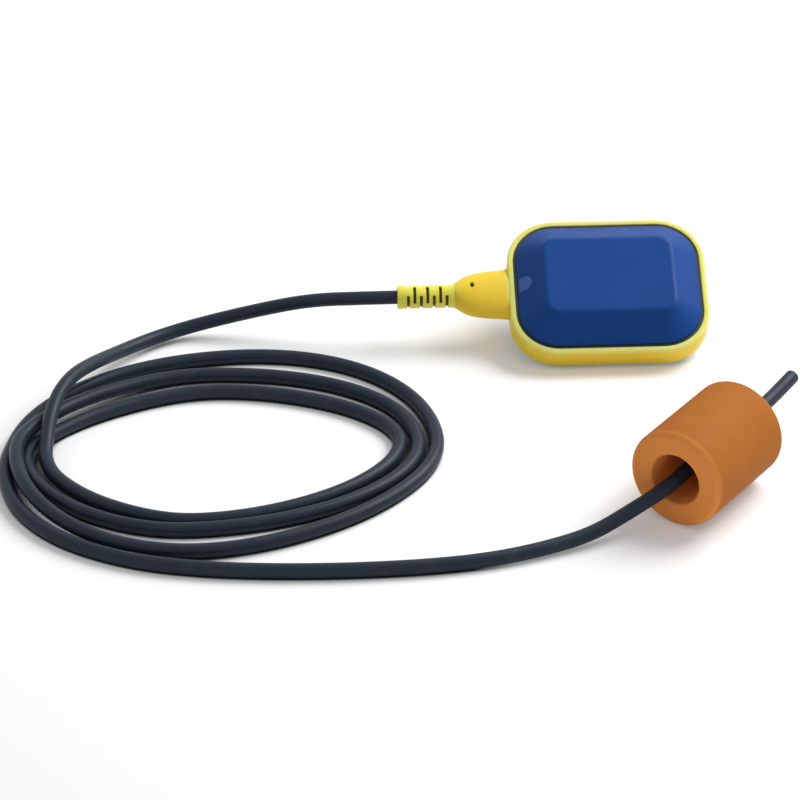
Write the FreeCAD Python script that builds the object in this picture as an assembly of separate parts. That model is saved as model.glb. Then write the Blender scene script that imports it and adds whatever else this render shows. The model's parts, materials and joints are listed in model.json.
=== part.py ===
"""Cable float switch: a bevelled float with a tilting ball switch, its lead laid in a loose coil,
and a sliding counterweight near the lead's bare end. Millimetres, +Z up.
The origin lies on the floor under the middle of the float, +X runs along the float away from its lead."""
import FreeCAD, Part
import math
import os

V = FreeCAD.Vector

# Float outline, seen along its own thickness
RING_LENGTH = 103.4
RING_WIDTH = 81.0
RING_CORNER = 25.0
BAND_HEIGHT = 13.2
LIP_WALL = 3.0
LIP_EDGE = 1.1
SHELF_HEIGHT = 4.2
SHELF_INSET = 8.0
FLOAT_TILT = 28.5

# Domed covers
COVER_GAP = 0.05
SEAL_WIDTH = 1.5
SEAL_BELOW_LIP = 0.7
COVER_WALL = 2.4
RIM_ABOVE_LIP = 0.6
CROWN_RISE = 10.9
BEVEL_RUN = 13.8
FLAT_EDGE = 3.4
RIM_EDGE = 0.8
GATE_MARK_RADIUS = 4.1
GATE_MARK_HEIGHT = 0.3
GATE_MARK_FROM_RIM = 0.9
GATE_MARK_STRAIGHT = 4.6

# Neck, from the ring outwards: distance, half width, half height
NECK_STATIONS = [
    (-3.0, 15.5, 6.3), (0.6, 14.9, 6.4), (3.0, 14.2, 6.65), (8.0, 13.9, 6.85),
    (14.0, 13.1, 6.9), (20.0, 11.2, 6.8), (24.5, 8.4, 6.6), (28.0, 6.7, 6.5),
]
NECK_LENGTH = 28.0
NECK_BORE = 5.25
VENT_FROM_RING = 17.4
VENT_LENGTH = 3.4
VENT_WIDTH = 1.5
VENT_DEPTH = 1.6

# Slotted strain relief
BOOT_LENGTH = 29.8
BOOT_RADIUS = 6.1
BOOT_SLEEVE_RADIUS = 5.2
BOOT_SLEEVE_LENGTH = 11.0
BOOT_EDGE = 0.6
SLOT_COUNT = 7
SLOT_WIDTH = 1.5
SLOT_PITCH = 3.35
SLOT_ANGLE = 120.0
FIRST_SLOT = 5.6
BOOT_TURN = 8.0

# Lead
CABLE_RADIUS = 3.6
CABLE_FIT = 0.05
SHEATH_INSIDE = 11.7
CORE_RADIUS = 1.0
CORE_RING = 1.5

# Rubber bush in the neck
BUSH_GAP = 0.15
BUSH_LENGTH = 14.0

# Saddle and clamp that grip the lead inside the float
THROAT_HALF_WIDTH = 6.0
THROAT_HALF_HEIGHT = 5.0
SADDLE_START = 7.4
SADDLE_LENGTH = 6.4
SADDLE_WIDTH = 19.0
SADDLE_HEIGHT = 6.0
CLAMP_LENGTH = 5.0
CLAMP_HEIGHT = 5.4
CLAMP_SPLIT = 0.1
CLAMP_SCREW_SPREAD = 6.7
SCREW_RADIUS = 1.1
SCREW_HOLE_GAP = 0.1
SCREW_HEAD_RADIUS = 2.0
SCREW_HEAD_HEIGHT = 1.5
SCREW_DEPTH = 5.0
SOCKET_RADIUS = 1.0
SOCKET_DEPTH = 0.8

# Sealed switch chamber
CHAMBER_END_CLEARANCE = 2.4
CHAMBER_SIDE_CLEARANCE = 3.6
CHAMBER_CORNER = 5.0
CHAMBER_WALL = 1.6
CHAMBER_CLEARANCE = 0.1
CHAMBER_SEAL_HEIGHT = 0.8
BOSS_RADIUS = 2.7
BOSS_FROM_END = 3.9
BOSS_FROM_SIDE = 3.9
LID_HEAD_HEIGHT = 0.8
LID_SOCKET_DEPTH = 0.5
WIRE_WINDOW_WIDTH = 9.0
WIRE_WINDOW_HEIGHT = 6.4
WIRE_WINDOW_CENTRE = 6.0

# Ball and its track
BALL_RADIUS = 6.5
BALL_GAP = 0.05
BALL_TRAVEL = 9.0
BALL_FROM_PIN = 20.0
TRACK_GAP = 0.3
TRACK_WALL = 1.0
TRACK_HEIGHT = 5.0

# Switch with its lever
PIN_FROM_CHAMBER_END = 15.0
PIN_RADIUS = 0.6
PIN_FIT = 0.05
LEVER_CLEARANCE = 0.25
LEVER_RISE = 5.0
LEVER_HALF_THICKNESS = 0.4
LEVER_WIDTH = 4.0
LEVER_LENGTH = 33.0
KNUCKLE_RADIUS = 1.2
CASE_BEYOND_PIN = 3.0
CASE_LENGTH = 20.0
CASE_WIDTH = 6.4
CASE_ABOVE_PIN = 1.65
CASE_SEAT_GAP = 0.05
LUG_WALL = 0.9
LUG_LENGTH = 3.0
LUG_BELOW_PIN = 1.3
PLUNGER_FROM_PIN = 6.0
PLUNGER_RADIUS = 0.8
PLUNGER_LENGTH = 4.6
PLUNGER_FIT = 0.06
PLUNGER_ROOM = 0.9
TERMINAL_LENGTH = 5.0
TERMINAL_WIDTH = 1.6
TERMINAL_THICKNESS = 0.5
TERMINAL_SPACING = 2.2
TERMINAL_BELOW_TOP = 3.2

# Counterweight, and where it lies
WEIGHT_RADIUS = 25.0
WEIGHT_LENGTH = 61.0
WEIGHT_EDGE = 3.0
WEIGHT_YAW = 52.0
WEIGHT_X = 61.6
WEIGHT_Y = -157.5
MOUTH_RADIUS = 13.0
THROAT_RADIUS = 8.4
THROAT_DEPTH = 44.0
GRIP_LENGTH = 9.0
GRIP_FIT = 0.05
BACK_HOLE_RADIUS = 4.4
MOUTH_EDGE = 1.0
SLEEVE_WALL = 3.1
CORE_WALL_RADIUS = 17.1
END_WALL = 5.0
WEIGHT_FIT = 0.05
GRIP_SLIT = 1.0
GRIP_SLIT_DEPTH = 6.0
GRIP_SLIT_COUNT = 4

# The lead's route on the floor. Its centreline lies a little over one radius up
FLOOR_LINE = 3.7
COIL_TOP = 9.4
COIL_EDGE = 2.6
COIL_LANE_BACK = -88.0
COIL_GAP = 0.05
COIL_BOTTOM = 0.08
COIL_OUTER = [(-279.0, -112.0), (-186.0, -202.5), (-64.0, -108.0), (-160.0, -16.5)]
COIL_INNER = [(-259.0, -128.0), (-186.0, -175.0), (-82.4, -106.0), (-178.0, -51.5)]
LEAD_END_HEIGHT = 5.6
LEAD_STRAIGHT = 18.4
LEAD_POINTS = [
    (-127.0, 5.5, 22.8),
    (-158.0, 10.0, 14.0),
    (-187.0, 10.5, 6.4),
    (-209.0, 0.0, 5.0),
    (-227.0, -20.5, 8.6),
    (-238.5, -42.0, 15.4),
    (-247.5, -59.0, 18.8),
    (-254.0, -75.0, 18.0),
    (-257.8, -90.5, 13.6),
    (-259.0, -104.5, 8.6),
    (-259.0, -116.0, 5.6),
]
TAIL_POINTS = [
    (-279.0, -133.0, 3.7),
    (-271.0, -160.6, 3.7),
    (-250.0, -187.0, 3.7),
    (-217.0, -206.0, 3.7),
    (-182.0, -214.6, 3.7),
    (-146.0, -218.2, 3.7),
    (-110.0, -219.0, 3.7),
    (-74.0, -217.4, 3.7),
    (-43.0, -212.6, 3.7),
    (-17.0, -204.0, 3.9),
    (3.0, -196.3, 5.6),
    (19.5, -187.5, 10.4),
]
# Along the weight's axis: distance from its middle, sideways to the right, up
WEIGHT_POINTS = [
    (-31.0, -4.6, -6.6), (-14.0, -0.9, -1.3), (4.0, 0.02, 0.0),
    (31.0, -0.02, 0.0), (59.0, 0.02, 0.02), (83.0, 0.0, 3.0),
]

# Sizes that follow from the ones above
HALF_BAND = BAND_HEIGHT / 2
HALF_SHELF = SHELF_HEIGHT / 2
COVER_INSET = LIP_WALL + SEAL_WIDTH + 2 * COVER_GAP
COVER_LENGTH = RING_LENGTH - 2 * COVER_INSET
COVER_WIDTH = RING_WIDTH - 2 * COVER_INSET
COVER_CORNER = RING_CORNER - COVER_INSET
RIM_TOP = HALF_BAND + RIM_ABOVE_LIP
COVER_TOP = RIM_TOP + CROWN_RISE
BEVEL_SLOPE = math.atan2(CROWN_RISE, BEVEL_RUN)
ROOM_RISE = CROWN_RISE - COVER_WALL
ROOM_INSET = (COVER_WALL + ROOM_RISE * math.cos(BEVEL_SLOPE)) / math.sin(BEVEL_SLOPE)
CHAMBER_LENGTH = COVER_LENGTH - 2 * ROOM_INSET - 2 * CHAMBER_END_CLEARANCE
CHAMBER_WIDTH = COVER_WIDTH - 2 * ROOM_INSET - 2 * CHAMBER_SIDE_CLEARANCE
PIN_FROM_MIDDLE = PIN_FROM_CHAMBER_END - CHAMBER_LENGTH / 2
RING_END = -RING_LENGTH / 2
NECK_END = RING_END - NECK_LENGTH
BOOT_END = NECK_END - BOOT_LENGTH
SHEATH_END = RING_END + SHEATH_INSIDE
CHAMBER_HALF = COVER_TOP - COVER_WALL - CHAMBER_CLEARANCE
CHAMBER_ROOM = CHAMBER_HALF - CHAMBER_WALL
BALL_HEIGHT = BALL_RADIUS + BALL_GAP - CHAMBER_ROOM
BALL_START = PIN_FROM_MIDDLE + BALL_FROM_PIN
PIN_HEIGHT = BALL_HEIGHT + BALL_RADIUS + LEVER_RISE + LEVER_HALF_THICKNESS
CASE_BOTTOM = PIN_HEIGHT + CASE_ABOVE_PIN
CASE_TOP = CHAMBER_ROOM - CASE_SEAT_GAP
FLOAT_X = (NECK_LENGTH + BOOT_LENGTH) / 2


def box(x0, x1, y0, y1, z0, z1):
    return Part.makeBox(x1 - x0, y1 - y0, z1 - z0, V(x0, y0, z0))


def rod(radius, start, direction, length, angle=360):
    return Part.makeCylinder(radius, length, start, direction, angle)


def rounded_outline(length, width, radius, height):
    """Rounded rectangle as straight edges and quarter arcs, at one height."""
    a = length / 2
    b = width / 2
    edges = []
    for turn in range(4):
        angle = math.pi / 2 * turn
        along, across = (a, b) if turn % 2 == 0 else (b, a)
        def at(p, q):
            along = p * math.cos(angle) - q * math.sin(angle)
            across = p * math.sin(angle) + q * math.cos(angle)
            return V(along, across, height)
        bend = radius * math.sqrt(0.5)
        middle = at(along - radius + bend, across - radius + bend)
        edges.append(Part.makeLine(at(along, radius - across), at(along, across - radius)))
        edges.append(Part.Arc(at(along, across - radius), middle, at(along - radius, across)).toShape())
    return Part.Wire(edges)


def rounded_block(length, width, radius, low, high):
    face = Part.Face(rounded_outline(length, width, radius, low))
    return face.extrude(V(0, 0, high - low))


def edges_at(shape, height):
    """Edges that lie wholly at one height."""
    level = [
        e for e in shape.Edges
        if abs(e.BoundBox.ZMin - height) < 1e-4 and abs(e.BoundBox.ZMax - height) < 1e-4
    ]
    return level


def crown(inset, low, high, low_inset, high_inset):
    """Bevelled crown between two outlines, each set in from the cover's own edge."""
    wires = []
    for height, set_in in ((low, low_inset + inset), (high, high_inset + inset)):
        corner = COVER_CORNER - set_in
        wires.append(rounded_outline(COVER_LENGTH - 2 * set_in, COVER_WIDTH - 2 * set_in, corner, height))
    return Part.makeLoft(wires, True, True)


def gate_mark():
    """Low pad with a round end that the mould's gate leaves on the bevel at the lead's end."""
    half = GATE_MARK_RADIUS
    low = -GATE_MARK_HEIGHT
    pad = box(GATE_MARK_FROM_RIM, GATE_MARK_STRAIGHT, -half, half, low, GATE_MARK_HEIGHT)
    pad = pad.fuse(rod(half, V(GATE_MARK_STRAIGHT, 0, low), V(0, 0, 1), 2 * GATE_MARK_HEIGHT))
    pad.rotate(V(0, 0, 0), V(0, 1, 0), -math.degrees(BEVEL_SLOPE))
    pad.translate(V(-COVER_LENGTH / 2, 0, RIM_TOP))
    return pad


def throat_notch():
    """Room in rims and seals for the boss that carries the lead through the ring's side."""
    side = THROAT_HALF_WIDTH + COVER_GAP
    top = THROAT_HALF_HEIGHT + COVER_GAP
    return box(RING_END, RING_END + SADDLE_START, -side, side, 0, top)


def cover():
    """Domed shell: upright rim, straight bevels with conical corners, flat top, hollow inside."""
    rim = rounded_block(COVER_LENGTH, COVER_WIDTH, COVER_CORNER, HALF_SHELF, RIM_TOP)
    outer = rim.fuse(crown(0, RIM_TOP, COVER_TOP, 0, BEVEL_RUN)).removeSplitter()
    outer = outer.makeFillet(FLAT_EDGE, edges_at(outer, COVER_TOP))
    outer = outer.makeFillet(RIM_EDGE, edges_at(outer, RIM_TOP))
    drop = COVER_WALL * (1 - math.sin(BEVEL_SLOPE)) / math.cos(BEVEL_SLOPE)
    length = COVER_LENGTH - 2 * COVER_WALL
    width = COVER_WIDTH - 2 * COVER_WALL
    room = rounded_block(length, width, COVER_CORNER - COVER_WALL, HALF_SHELF - 1, RIM_TOP - drop)
    room = room.fuse(crown(0, RIM_TOP - drop, COVER_TOP - COVER_WALL, COVER_WALL, ROOM_INSET))
    return outer.fuse(gate_mark()).cut(room).cut(throat_notch())


def seal():
    """Rubber ring between the cover's rim and the lip of the frame."""
    top = HALF_BAND - SEAL_BELOW_LIP
    outer_inset = LIP_WALL + COVER_GAP
    inner_inset = outer_inset + SEAL_WIDTH
    sizes = [(RING_LENGTH - 2 * i, RING_WIDTH - 2 * i, RING_CORNER - i) for i in (outer_inset, inner_inset)]
    ring = rounded_block(*sizes[0], HALF_SHELF, top)
    return ring.cut(rounded_block(*sizes[1], HALF_SHELF - 1, top + 1)).cut(throat_notch())


def ellipse_section(distance, half_width, half_height):
    centre = V(RING_END - distance, 0, 0)
    curve = Part.Ellipse(centre + V(0, half_width, 0), centre + V(0, 0, half_height), centre)
    return Part.Wire([curve.toShape()])


def neck():
    """Moulded neck that narrows from the ring's side to the round seat of the strain relief."""
    return Part.makeLoft([ellipse_section(*station) for station in NECK_STATIONS], True, False)


def vent():
    """Small slot in the top of the neck."""
    middle = RING_END - VENT_FROM_RING
    half = (VENT_LENGTH - VENT_WIDTH) / 2
    top = max(station[2] for station in NECK_STATIONS) + 1
    depth = VENT_DEPTH + 1
    slot = box(middle - VENT_WIDTH / 2, middle + VENT_WIDTH / 2, -half, half, top - depth, top)
    for side in (-half, half):
        slot = slot.fuse(rod(VENT_WIDTH / 2, V(middle, side, top - depth), V(0, 0, 1), depth))
    return slot


def saddle():
    """Pad on the shelf's inner edge, grooved for the lead, with holes for the clamp's screws."""
    start = RING_END + SADDLE_START
    half = SADDLE_WIDTH / 2
    pad = box(start, start + SADDLE_LENGTH, -half, half, -SADDLE_HEIGHT, -CLAMP_SPLIT)
    pad = pad.cut(rod(CABLE_RADIUS + CABLE_FIT, V(start - 1, 0, 0), V(1, 0, 0), SADDLE_LENGTH + 2))
    for side in (-1, 1):
        foot = V(clamp_middle(), side * CLAMP_SCREW_SPREAD, -SCREW_DEPTH - SCREW_HOLE_GAP)
        pad = pad.cut(rod(SCREW_RADIUS + SCREW_HOLE_GAP, foot, V(0, 0, 1), SCREW_DEPTH + 1))
    return pad


def clamp_middle():
    return RING_END + SADDLE_START + SADDLE_LENGTH / 2 + 0.4


def frame_ring():
    """One moulding: band with lips, inner shelf, neck, and the throat and saddle for the lead."""
    band = rounded_block(RING_LENGTH, RING_WIDTH, RING_CORNER, -HALF_BAND, HALF_BAND)
    band = band.makeFillet(LIP_EDGE, edges_at(band, HALF_BAND) + edges_at(band, -HALF_BAND))
    length = RING_LENGTH - 2 * LIP_WALL
    width = RING_WIDTH - 2 * LIP_WALL
    corner = RING_CORNER - LIP_WALL
    inside = rounded_block(length, width, corner, -BAND_HEIGHT, BAND_HEIGHT)
    shelf = rounded_block(length, width, corner, -HALF_SHELF, HALF_SHELF)
    length = RING_LENGTH - 2 * SHELF_INSET
    width = RING_WIDTH - 2 * SHELF_INSET
    opening = rounded_block(length, width, RING_CORNER - SHELF_INSET, -BAND_HEIGHT, BAND_HEIGHT)
    body = band.fuse(neck()).cut(inside).fuse(shelf.cut(opening))
    side = THROAT_HALF_WIDTH
    inner = RING_END + LIP_WALL / 2
    boss = box(inner, RING_END + SADDLE_START, -side, side, -THROAT_HALF_HEIGHT, THROAT_HALF_HEIGHT)
    body = body.fuse(boss).fuse(saddle())
    bore = rod(NECK_BORE, V(NECK_END - 1, 0, 0), V(1, 0, 0), NECK_LENGTH + 1 + LIP_WALL)
    throat = rod(CABLE_RADIUS + CABLE_FIT, V(RING_END, 0, 0), V(1, 0, 0), SADDLE_START + 1)
    return body.cut(bore).cut(throat).cut(vent()).removeSplitter()


def slot_cutter(position, middle_angle):
    """Sector, cut across the strain relief down to the cable."""
    cutter = rod(BOOT_RADIUS + 1, V(0, 0, 0), V(0, 0, 1), SLOT_WIDTH, SLOT_ANGLE)
    cutter.rotate(V(0, 0, 0), V(0, 0, 1), middle_angle - SLOT_ANGLE / 2)
    cutter.rotate(V(0, 0, 0), V(0, 1, 0), 90)
    cutter.translate(V(position, 0, 0))
    return cutter


def cable_boot():
    """Strain relief with slots that alternate between its sides and its top and bottom. It sits in the
    neck turned a little towards the front."""
    body = rod(BOOT_RADIUS, V(BOOT_END, 0, 0), V(1, 0, 0), BOOT_LENGTH)
    ends = [
        e for e in body.Edges
        if e.BoundBox.XMax - e.BoundBox.XMin < 1e-4 and e.BoundBox.XMax < BOOT_END + 1
    ]
    body = body.makeFillet(BOOT_EDGE, ends)
    sleeve = rod(BOOT_SLEEVE_RADIUS, V(NECK_END, 0, 0), V(1, 0, 0), BOOT_SLEEVE_LENGTH)
    body = body.fuse(sleeve)
    whole = BOOT_LENGTH + BOOT_SLEEVE_LENGTH
    body = body.cut(rod(CABLE_RADIUS + CABLE_FIT, V(BOOT_END - 1, 0, 0), V(1, 0, 0), whole + 2))
    for index in range(SLOT_COUNT):
        position = BOOT_END + FIRST_SLOT + SLOT_PITCH * index - SLOT_WIDTH / 2
        quarter = 90 if index % 2 == 0 else 0
        for side in (0, 180):
            body = body.cut(slot_cutter(position, quarter + side + BOOT_TURN))
    return body


def cable_inlet():
    """The lead's sheath inside the strain relief, neck and clamp."""
    return rod(CABLE_RADIUS, V(BOOT_END, 0, 0), V(1, 0, 0), SHEATH_END - BOOT_END)


def gland_bush():
    """Rubber sleeve that fills the neck's bore round the sheath, behind the strain relief."""
    start = NECK_END + BOOT_SLEEVE_LENGTH + BUSH_GAP
    body = rod(NECK_BORE - CABLE_FIT, V(start, 0, 0), V(1, 0, 0), BUSH_LENGTH)
    return body.cut(rod(CABLE_RADIUS + CABLE_FIT, V(start - 1, 0, 0), V(1, 0, 0), BUSH_LENGTH + 2))


def cable_clamp():
    low = clamp_middle() - CLAMP_LENGTH / 2
    body = box(low, low + CLAMP_LENGTH, -SADDLE_WIDTH / 2, SADDLE_WIDTH / 2, CLAMP_SPLIT, CLAMP_HEIGHT)
    upright = [e for e in body.Edges if e.BoundBox.ZMax - e.BoundBox.ZMin > CLAMP_HEIGHT / 2]
    body = body.makeFillet(CLAMP_LENGTH / 5, upright)
    body = body.cut(rod(CABLE_RADIUS + CABLE_FIT, V(low - 1, 0, 0), V(1, 0, 0), CLAMP_LENGTH + 2))
    for side in (-1, 1):
        foot = V(clamp_middle(), side * CLAMP_SCREW_SPREAD, 0)
        body = body.cut(rod(SCREW_RADIUS + SCREW_HOLE_GAP, foot, V(0, 0, 1), CLAMP_HEIGHT + 1))
    return body


def screw(x, y, seat, depth, head_height, socket_depth):
    """Pan-head screw with a plain round socket, its head on the seat."""
    shank = rod(SCREW_RADIUS, V(x, y, seat - depth), V(0, 0, 1), depth)
    head = rod(SCREW_HEAD_RADIUS, V(x, y, seat), V(0, 0, 1), head_height)
    top = seat + head_height
    head = head.makeFillet(head_height / 3, edges_at(head, top))
    socket = rod(SOCKET_RADIUS, V(x, y, top - socket_depth), V(0, 0, 1), socket_depth + 1)
    return shank.fuse(head).cut(socket)


def clamp_screws():
    depth = CLAMP_HEIGHT + SCREW_DEPTH
    sizes = (CLAMP_HEIGHT, depth, SCREW_HEAD_HEIGHT, SOCKET_DEPTH)
    return Part.makeCompound([screw(clamp_middle(), side * CLAMP_SCREW_SPREAD, *sizes) for side in (-1, 1)])


def boss_places():
    x = CHAMBER_LENGTH / 2 - BOSS_FROM_END
    y = CHAMBER_WIDTH / 2 - BOSS_FROM_SIDE
    return [(x, y), (-x, y), (-x, -y), (x, -y)]


def chamber_seal_low():
    return CHAMBER_ROOM - CHAMBER_SEAL_HEIGHT


def track():
    """Two rails for the ball, closed at both ends of its way."""
    floor = -CHAMBER_ROOM
    low = BALL_START - BALL_RADIUS - TRACK_GAP
    high = BALL_START + BALL_TRAVEL + BALL_RADIUS + TRACK_GAP
    side = BALL_RADIUS + TRACK_GAP
    x0 = low - TRACK_WALL
    x1 = high + TRACK_WALL
    y1 = side + TRACK_WALL
    rails = box(x0, x1, -y1, y1, floor, floor + TRACK_HEIGHT)
    return rails.cut(box(low, high, -side, side, floor - 1, floor + TRACK_HEIGHT + 1))


def capsule_base():
    """Open tray of the sealed chamber, with screw bosses, the ball's track and a window for the cores."""
    inner_corner = CHAMBER_CORNER - CHAMBER_WALL
    top = chamber_seal_low()
    body = rounded_block(CHAMBER_LENGTH, CHAMBER_WIDTH, CHAMBER_CORNER, -CHAMBER_HALF, top)
    length = CHAMBER_LENGTH - 2 * CHAMBER_WALL
    width = CHAMBER_WIDTH - 2 * CHAMBER_WALL
    body = body.cut(rounded_block(length, width, inner_corner, -CHAMBER_ROOM, top + 1))
    for x, y in boss_places():
        body = body.fuse(rod(BOSS_RADIUS, V(x, y, -CHAMBER_ROOM), V(0, 0, 1), top + CHAMBER_ROOM))
    for x, y in boss_places():
        foot = V(x, y, top - SCREW_DEPTH - 1)
        hole = rod(SCREW_RADIUS + SCREW_HOLE_GAP, foot, V(0, 0, 1), SCREW_DEPTH + 2)
        body = body.cut(hole)
    body = body.fuse(track())
    half = WIRE_WINDOW_WIDTH / 2
    low = WIRE_WINDOW_CENTRE - WIRE_WINDOW_HEIGHT / 2
    wall = -CHAMBER_LENGTH / 2
    return body.cut(box(wall - 1, wall + CHAMBER_WALL + 1, -half, half, low, low + WIRE_WINDOW_HEIGHT))


def capsule_seal():
    low = chamber_seal_low()
    body = rounded_block(CHAMBER_LENGTH, CHAMBER_WIDTH, CHAMBER_CORNER, low, CHAMBER_ROOM)
    length = CHAMBER_LENGTH - 2 * CHAMBER_WALL
    width = CHAMBER_WIDTH - 2 * CHAMBER_WALL
    body = body.cut(rounded_block(length, width, CHAMBER_CORNER - CHAMBER_WALL, low - 1, CHAMBER_ROOM + 1))
    for x, y in boss_places():
        body = body.fuse(rod(BOSS_RADIUS, V(x, y, low), V(0, 0, 1), CHAMBER_SEAL_HEIGHT))
    for x, y in boss_places():
        hole = rod(SCREW_RADIUS + SCREW_HOLE_GAP, V(x, y, low - 1), V(0, 0, 1), CHAMBER_SEAL_HEIGHT + 2)
        body = body.cut(hole)
    return body


def lid_screw_seat():
    return CHAMBER_HALF - LID_HEAD_HEIGHT - CHAMBER_CLEARANCE


def capsule_lid():
    """Flat lid, counterbored so that the screws' heads sit below its face."""
    body = rounded_block(CHAMBER_LENGTH, CHAMBER_WIDTH, CHAMBER_CORNER, CHAMBER_ROOM, CHAMBER_HALF)
    for x, y in boss_places():
        gap = SCREW_HOLE_GAP
        seat = lid_screw_seat()
        body = body.cut(rod(SCREW_HEAD_RADIUS + gap, V(x, y, seat), V(0, 0, 1), CHAMBER_HALF))
        body = body.cut(rod(SCREW_RADIUS + gap, V(x, y, CHAMBER_ROOM - 1), V(0, 0, 1), CHAMBER_HALF))
    return body


def capsule_screws():
    seat = lid_screw_seat()
    depth = seat - chamber_seal_low() + SCREW_DEPTH
    places = boss_places()
    screws = [screw(x, y, seat, depth, LID_HEAD_HEIGHT, LID_SOCKET_DEPTH) for x, y in places]
    return Part.makeCompound(screws)


def contact_ball():
    return Part.makeSphere(BALL_RADIUS, V(BALL_START, 0, BALL_HEIGHT))


def lever_slope(distance):
    """Slope, in degrees, at which the lever clears the ball that far from the pin."""
    rise = PIN_HEIGHT - BALL_HEIGHT
    reach = math.hypot(rise, distance)
    near = BALL_RADIUS + LEVER_HALF_THICKNESS + LEVER_CLEARANCE
    return math.degrees(math.acos(near / reach) - math.atan2(distance, rise))


def lever_swing():
    return lever_slope(BALL_FROM_PIN) - lever_slope(BALL_FROM_PIN + BALL_TRAVEL)


def switch_lever():
    """Flat lever with a rolled knuckle, hinged at the switch and resting just over the ball."""
    thick = LEVER_HALF_THICKNESS
    half = LEVER_WIDTH / 2
    blade = box(0, LEVER_LENGTH, -half, half, -thick, thick)
    tip = [
        e for e in blade.Edges
        if e.BoundBox.XMin > LEVER_LENGTH - 1 and e.BoundBox.ZMax - e.BoundBox.ZMin > thick
    ]
    blade = blade.makeFillet(half / 2, tip)
    knuckle = rod(KNUCKLE_RADIUS, V(0, -half, 0), V(0, 1, 0), LEVER_WIDTH)
    body = blade.fuse(knuckle)
    body = body.cut(rod(PIN_RADIUS + PIN_FIT, V(0, -half - 1, 0), V(0, 1, 0), LEVER_WIDTH + 2))
    body.rotate(V(0, 0, 0), V(0, 1, 0), lever_slope(BALL_FROM_PIN))
    body.translate(V(PIN_FROM_MIDDLE, 0, PIN_HEIGHT))
    return body


def lever_pin():
    half = CASE_WIDTH / 2
    return rod(PIN_RADIUS, V(PIN_FROM_MIDDLE, -half, PIN_HEIGHT), V(0, 1, 0), CASE_WIDTH)


def plunger_bottom():
    """Height of the plunger's foot, just over the resting lever."""
    slope = math.radians(lever_slope(BALL_FROM_PIN))
    near = PLUNGER_FROM_PIN - PLUNGER_RADIUS
    return PIN_HEIGHT + LEVER_HALF_THICKNESS / math.cos(slope) - near * math.tan(slope) + 2 * CABLE_FIT


def plunger_travel():
    slopes = [math.radians(lever_slope(BALL_FROM_PIN + s)) for s in (0, BALL_TRAVEL)]
    return PLUNGER_FROM_PIN * (math.tan(slopes[0]) - math.tan(slopes[1]))


def switch_plunger():
    foot = V(PIN_FROM_MIDDLE + PLUNGER_FROM_PIN, 0, plunger_bottom())
    body = rod(PLUNGER_RADIUS, foot, V(0, 0, 1), PLUNGER_LENGTH)
    return body


def switch_case():
    """Closed snap-action switch, hung from the lid, with two lugs for the lever's pin."""
    left = PIN_FROM_MIDDLE - CASE_BEYOND_PIN
    half = CASE_WIDTH / 2
    body = box(left, left + CASE_LENGTH, -half, half, CASE_BOTTOM, CASE_TOP)
    for side in (-1, 1):
        y0, y1 = sorted((side * half, side * (half - LUG_WALL)))
        lug_left = PIN_FROM_MIDDLE - LUG_LENGTH / 2
        lug_bottom = PIN_HEIGHT - LUG_BELOW_PIN
        body = body.fuse(box(lug_left, lug_left + LUG_LENGTH, y0, y1, lug_bottom, CASE_BOTTOM))
    pin_start = V(PIN_FROM_MIDDLE, -half - 1, PIN_HEIGHT)
    body = body.cut(rod(PIN_RADIUS + PIN_FIT, pin_start, V(0, 1, 0), CASE_WIDTH + 2))
    top = plunger_bottom() + PLUNGER_LENGTH + plunger_travel() + PLUNGER_ROOM
    foot = V(PIN_FROM_MIDDLE + PLUNGER_FROM_PIN, 0, CASE_BOTTOM - 1)
    return body.cut(rod(PLUNGER_RADIUS + PLUNGER_FIT, foot, V(0, 0, 1), top - foot.z))


def terminal_height():
    return CASE_TOP - TERMINAL_BELOW_TOP


def terminal(side):
    right = PIN_FROM_MIDDLE - CASE_BEYOND_PIN
    middle = side * TERMINAL_SPACING
    half = TERMINAL_WIDTH / 2
    low = terminal_height() - TERMINAL_THICKNESS / 2
    return box(right - TERMINAL_LENGTH, right, middle - half, middle + half, low, low + TERMINAL_THICKNESS)


def tube(points, radius):
    """Straight runs joined by tangent arcs, swept to a round tube; with its length and arc radii."""
    spots = [V(*p) for p in points]
    edges = []
    radii = []
    start = spots[0]
    for before, corner, after in zip(spots, spots[1:], spots[2:]):
        toward = (before - corner).normalize()
        away = (after - corner).normalize()
        trim = 0.45 * min((before - corner).Length, (after - corner).Length)
        half_turn = (math.pi - toward.getAngle(away)) / 2
        bend = trim / math.tan(half_turn)
        radii.append(bend)
        enter = corner + toward * trim
        leave = corner + away * trim
        inward = (toward + away).normalize()
        middle = corner + inward * (bend / math.cos(half_turn) - bend)
        edges.append(Part.makeLine(start, enter))
        edges.append(Part.Arc(enter, middle, leave).toShape())
        start = leave
    edges.append(Part.makeLine(start, spots[-1]))
    path = Part.Wire(edges)
    circle = Part.Circle(spots[0], (spots[1] - spots[0]).normalize(), radius)
    solid = path.makePipeShell([Part.Wire([circle.toShape()])], True, False)
    return solid, path.Length, radii


def core(side):
    """Insulated core from the end of the sheath, through the chamber's window, to its terminal."""
    y = CORE_RING * side
    z = -CORE_RING / 2 if side else CORE_RING
    end = PIN_FROM_MIDDLE - CASE_BEYOND_PIN - TERMINAL_LENGTH
    wall = -CHAMBER_LENGTH / 2 + CHAMBER_WALL / 2
    spread = side * TERMINAL_SPACING
    points = [
        (SHEATH_END, y, z),
        (SHEATH_END + 3, y, z),
        (wall, spread, WIRE_WINDOW_CENTRE),
        (end - 3, spread, terminal_height()),
        (end, spread, terminal_height()),
    ]
    return tube(points, CORE_RADIUS)[0]


def on_float(shape, height):
    """Tips a piece of the float about X on to its front edge and lifts it to rest on the floor."""
    placed = shape.copy()
    placed.rotate(V(0, 0, 0), V(1, 0, 0), FLOAT_TILT)
    placed.translate(V(FLOAT_X, 0, height))
    return placed


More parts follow.
